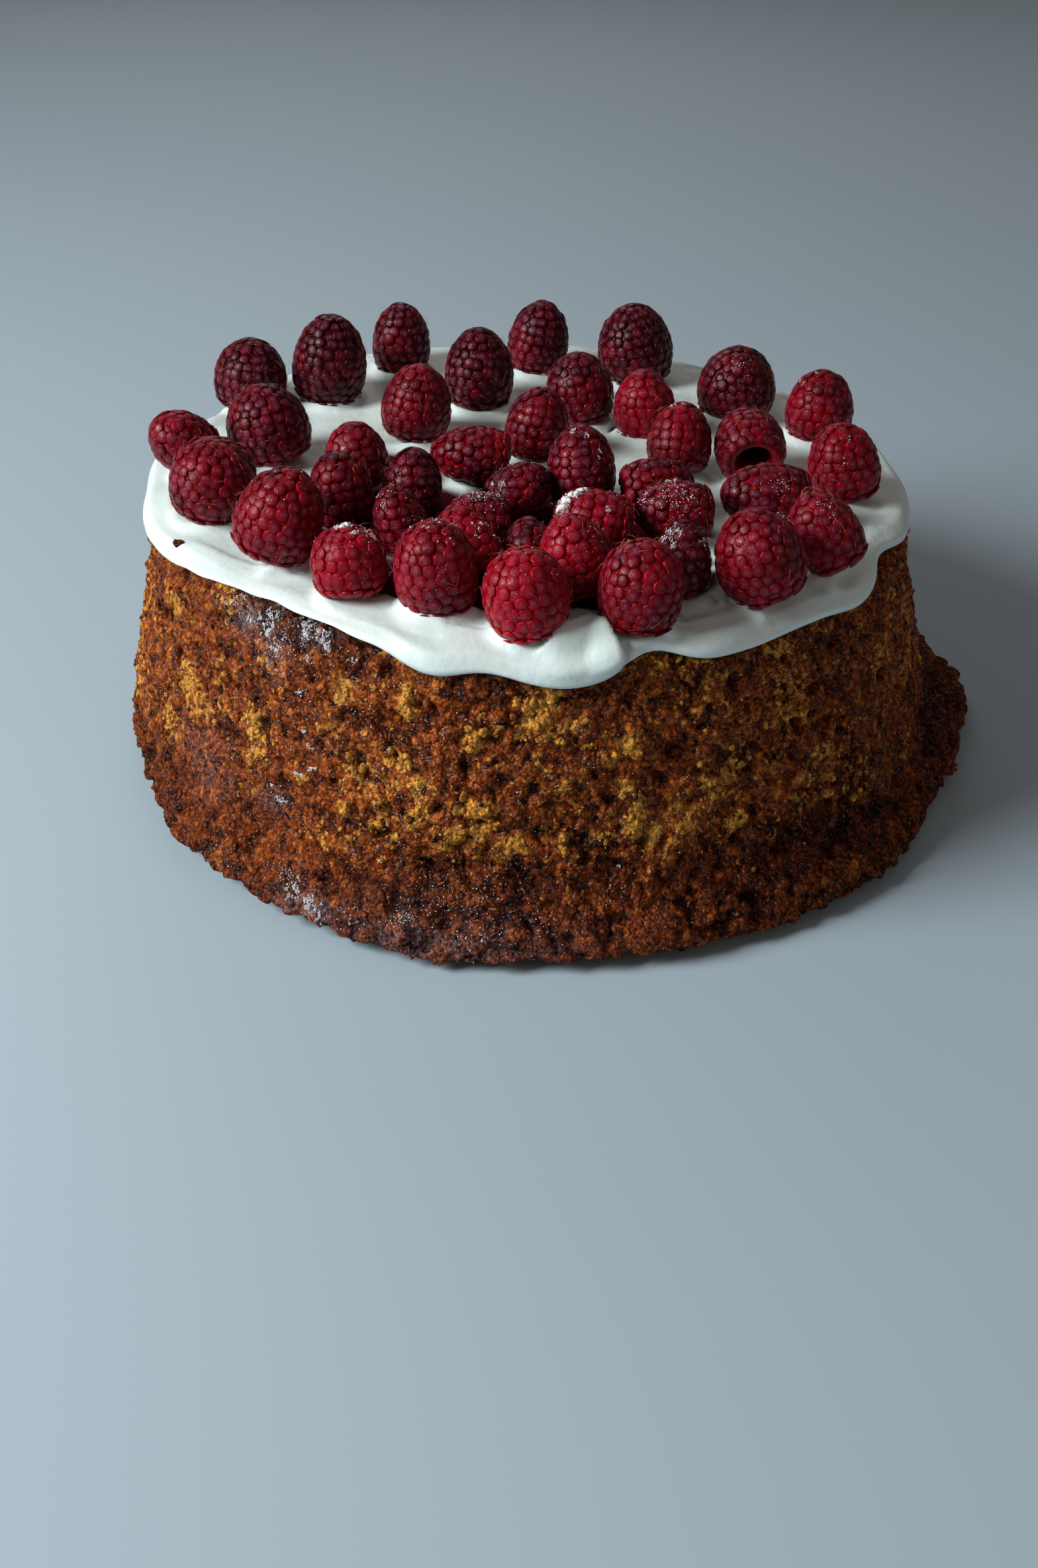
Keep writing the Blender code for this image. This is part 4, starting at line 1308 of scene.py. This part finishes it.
def heaped(spread, count, rng):
    """Where the grains of a heap lie beside its middle, and how high on it. A heap is made of small clumps; a
    wide one is a dusting of single grains."""
    if spread >= DUSTING_SPREAD:
        return np.concatenate([rng.normal(0, spread * MM, (count, 2)), np.zeros((count, 1))], 1)
    clumps = rng.normal(0, spread * MM, (count // CLUMP_GRAINS + 1, 2))
    beside = rng.normal(0, 0.2 * MM, (count, 2))
    lift = 0.45 * MM * rng.uniform(0, 1, count) * np.exp(-(np.linalg.norm(beside, axis=1) / (0.3 * MM)) ** 2)
    return np.concatenate([clumps[rng.integers(0, len(clumps), count)] + beside, lift[:, None]], 1)


def sugar_places(crust, berries, rng):
    """Where the grains lie: on the crust, found from outside, and on the berries, found from above. Each is a
    place, the way that the surface faces there and the grain's height on its heap."""
    found = []
    for azimuth, height, along, up, count in CRUST_SUGAR:
        for aside, ahead, lift in heaped(along, count, rng):
            turn = math.radians(azimuth) + aside / WALL_RADIUS
            level = max(1 * MM, height * MM + ahead * up / along)
            wall = WALL_FOOT - WALL_TAPER * level
            way = Vector((math.cos(turn), math.sin(turn), 0.35)).normalized()
            start = Vector((wall * math.cos(turn), wall * math.sin(turn), level)) + 50 * MM * way
            found.append((*crust.ray_cast(start, -way)[:2], lift))
    for x, y, spread, count in BERRY_SUGAR:
        for aside, ahead, lift in heaped(spread, count, rng):
            hit = seen_from_above(berries, x * MM + aside, y * MM + ahead)
            if hit:
                found.append((*hit, lift))
    on_cake = [row for row in found if row[0] and row[0].length < 140 * MM]
    return [np.array(column) for column in zip(*on_cake)]


def build_sugar(crust, berries, finish):
    """Icing sugar, as grains half sunk in the crust and the berries, or on the grains below."""
    rng = np.random.default_rng(37)
    places, normals, lifts = sugar_places(crust, berries, rng)
    sizes = rng.uniform(*SUGAR_RADIUS, len(places)) * MM
    places = places + normals * (lifts + sizes * 0.6)[:, None]
    points, faces = scatter_lumps(grain_shape(), places, normals, sizes, rng, squash=0.8, ragged=0.35)
    add_piece("icing_sugar", points, faces, finish)


def build_lumps(name, lumps, surfaces, finish):
    """Rough lumps that lie on the highest of the surfaces, rows of (x, y, radius)."""
    rng = np.random.default_rng(41)
    hits = [seen_from_above(surfaces, x * MM, y * MM) for x, y, _ in lumps]
    places, normals = (np.array(column) for column in zip(*hits))
    sizes = np.array([radius for _, _, radius in lumps]) * MM
    points, faces = scatter_lumps(ball_shape(1), places, normals, sizes, rng, squash=0.75, ragged=0.3)
    each = points.shape[1]
    values = {"gold": np.full(len(lumps) * each, 0.2), "scorch_and_shade": np.full(len(lumps) * each, 0.6)}
    add_piece(name, points, faces, finish, values)


# ---------------------------------------------------------------- the studio


def area_light(name, at, size, power, tint):
    data = bpy.data.lights.new(name, "AREA")
    data.shape, data.size, data.energy, data.color = "DISK", size, power, tint
    obj = bpy.data.objects.new(name, data)
    obj.location = at
    obj.rotation_euler = (LIGHTS_AIM - Vector(at)).to_track_quat("-Z", "Y").to_euler()
    bpy.context.scene.collection.objects.link(obj)


def build_studio():
    sides = ((-1, -1), (1, -1), (1, 1), (-1, 1))
    corners = [(x * FLOOR_HALF, y * FLOOR_HALF, FLOOR_LEVEL) for x, y in sides]
    floor = mesh_object("floor", corners, [[(0, 1, 2, 3)]])
    floor.data.materials.append(plain_material("pale_floor", FLOOR_TINT, 0.6))
    for light in LIGHTS:
        area_light(*light)
    world = bpy.data.worlds.new("soft_room")
    world.use_nodes = True
    tree = world.node_tree
    fill(tree, tree.nodes["Background"], Color=colour(*ROOM_TINT), Strength=ROOM_STRENGTH)
    bpy.context.scene.world = world
    bpy.context.scene.view_settings.view_transform = "Standard"


def build_camera():
    flat = math.cos(CAMERA_PITCH)
    ahead = Vector((math.sin(CAMERA_YAW) * flat, math.cos(CAMERA_YAW) * flat, -math.sin(CAMERA_PITCH)))
    level = ahead.cross(Vector((0, 0, 1))).normalized()
    upright = level.cross(ahead)
    right = math.cos(CAMERA_ROLL) * level + math.sin(CAMERA_ROLL) * upright
    up = -math.sin(CAMERA_ROLL) * level + math.cos(CAMERA_ROLL) * upright
    data = bpy.data.cameras.new("camera")
    data.sensor_width = SENSOR
    data.lens = SENSOR * FOCAL_SHARE
    data.clip_start = 0.01
    obj = bpy.data.objects.new("camera", data)
    obj.matrix_world = Matrix.Translation(CAMERA_PLACE) @ Matrix((right, up, -ahead)).transposed().to_4x4()
    bpy.context.scene.collection.objects.link(obj)
    bpy.context.scene.camera = obj


def build_berries():
    skin = berry_material()
    made = [build_berry(number, *row, skin) for number, row in enumerate(BERRIES, 1)]
    objects, crowns, ways = zip(*made)
    hair = plain_material("raspberry_hair", (0.95, 0.38, 0.20), 0.35)
    build_hairs(np.concatenate(crowns), np.concatenate(ways), hair)
    return objects


def build_cake():
    crust = crust_material()
    surface = build_sponge(crust)
    for name, *kind in CRUMB_KINDS:
        build_crumbs(name, surface, crust, *kind)
    build_icing(icing_material())
    berries = [tree_of(obj) for obj in build_berries()]
    sponge, icing = (tree_of(bpy.data.objects[name]) for name in ("sponge_crust", "icing_cream"))
    sugar = plain_material("sugar", (0.86, 0.88, 0.9), 0.5, 0.3)
    build_sugar(sponge, berries, sugar)
    build_lumps("sugar_lumps", SUGAR_LUMPS, [*berries, icing], sugar)
    build_lumps("icing_crumbs", ICING_CRUMBS, [icing, sponge], crust)


build_camera()
build_studio()
build_cake()
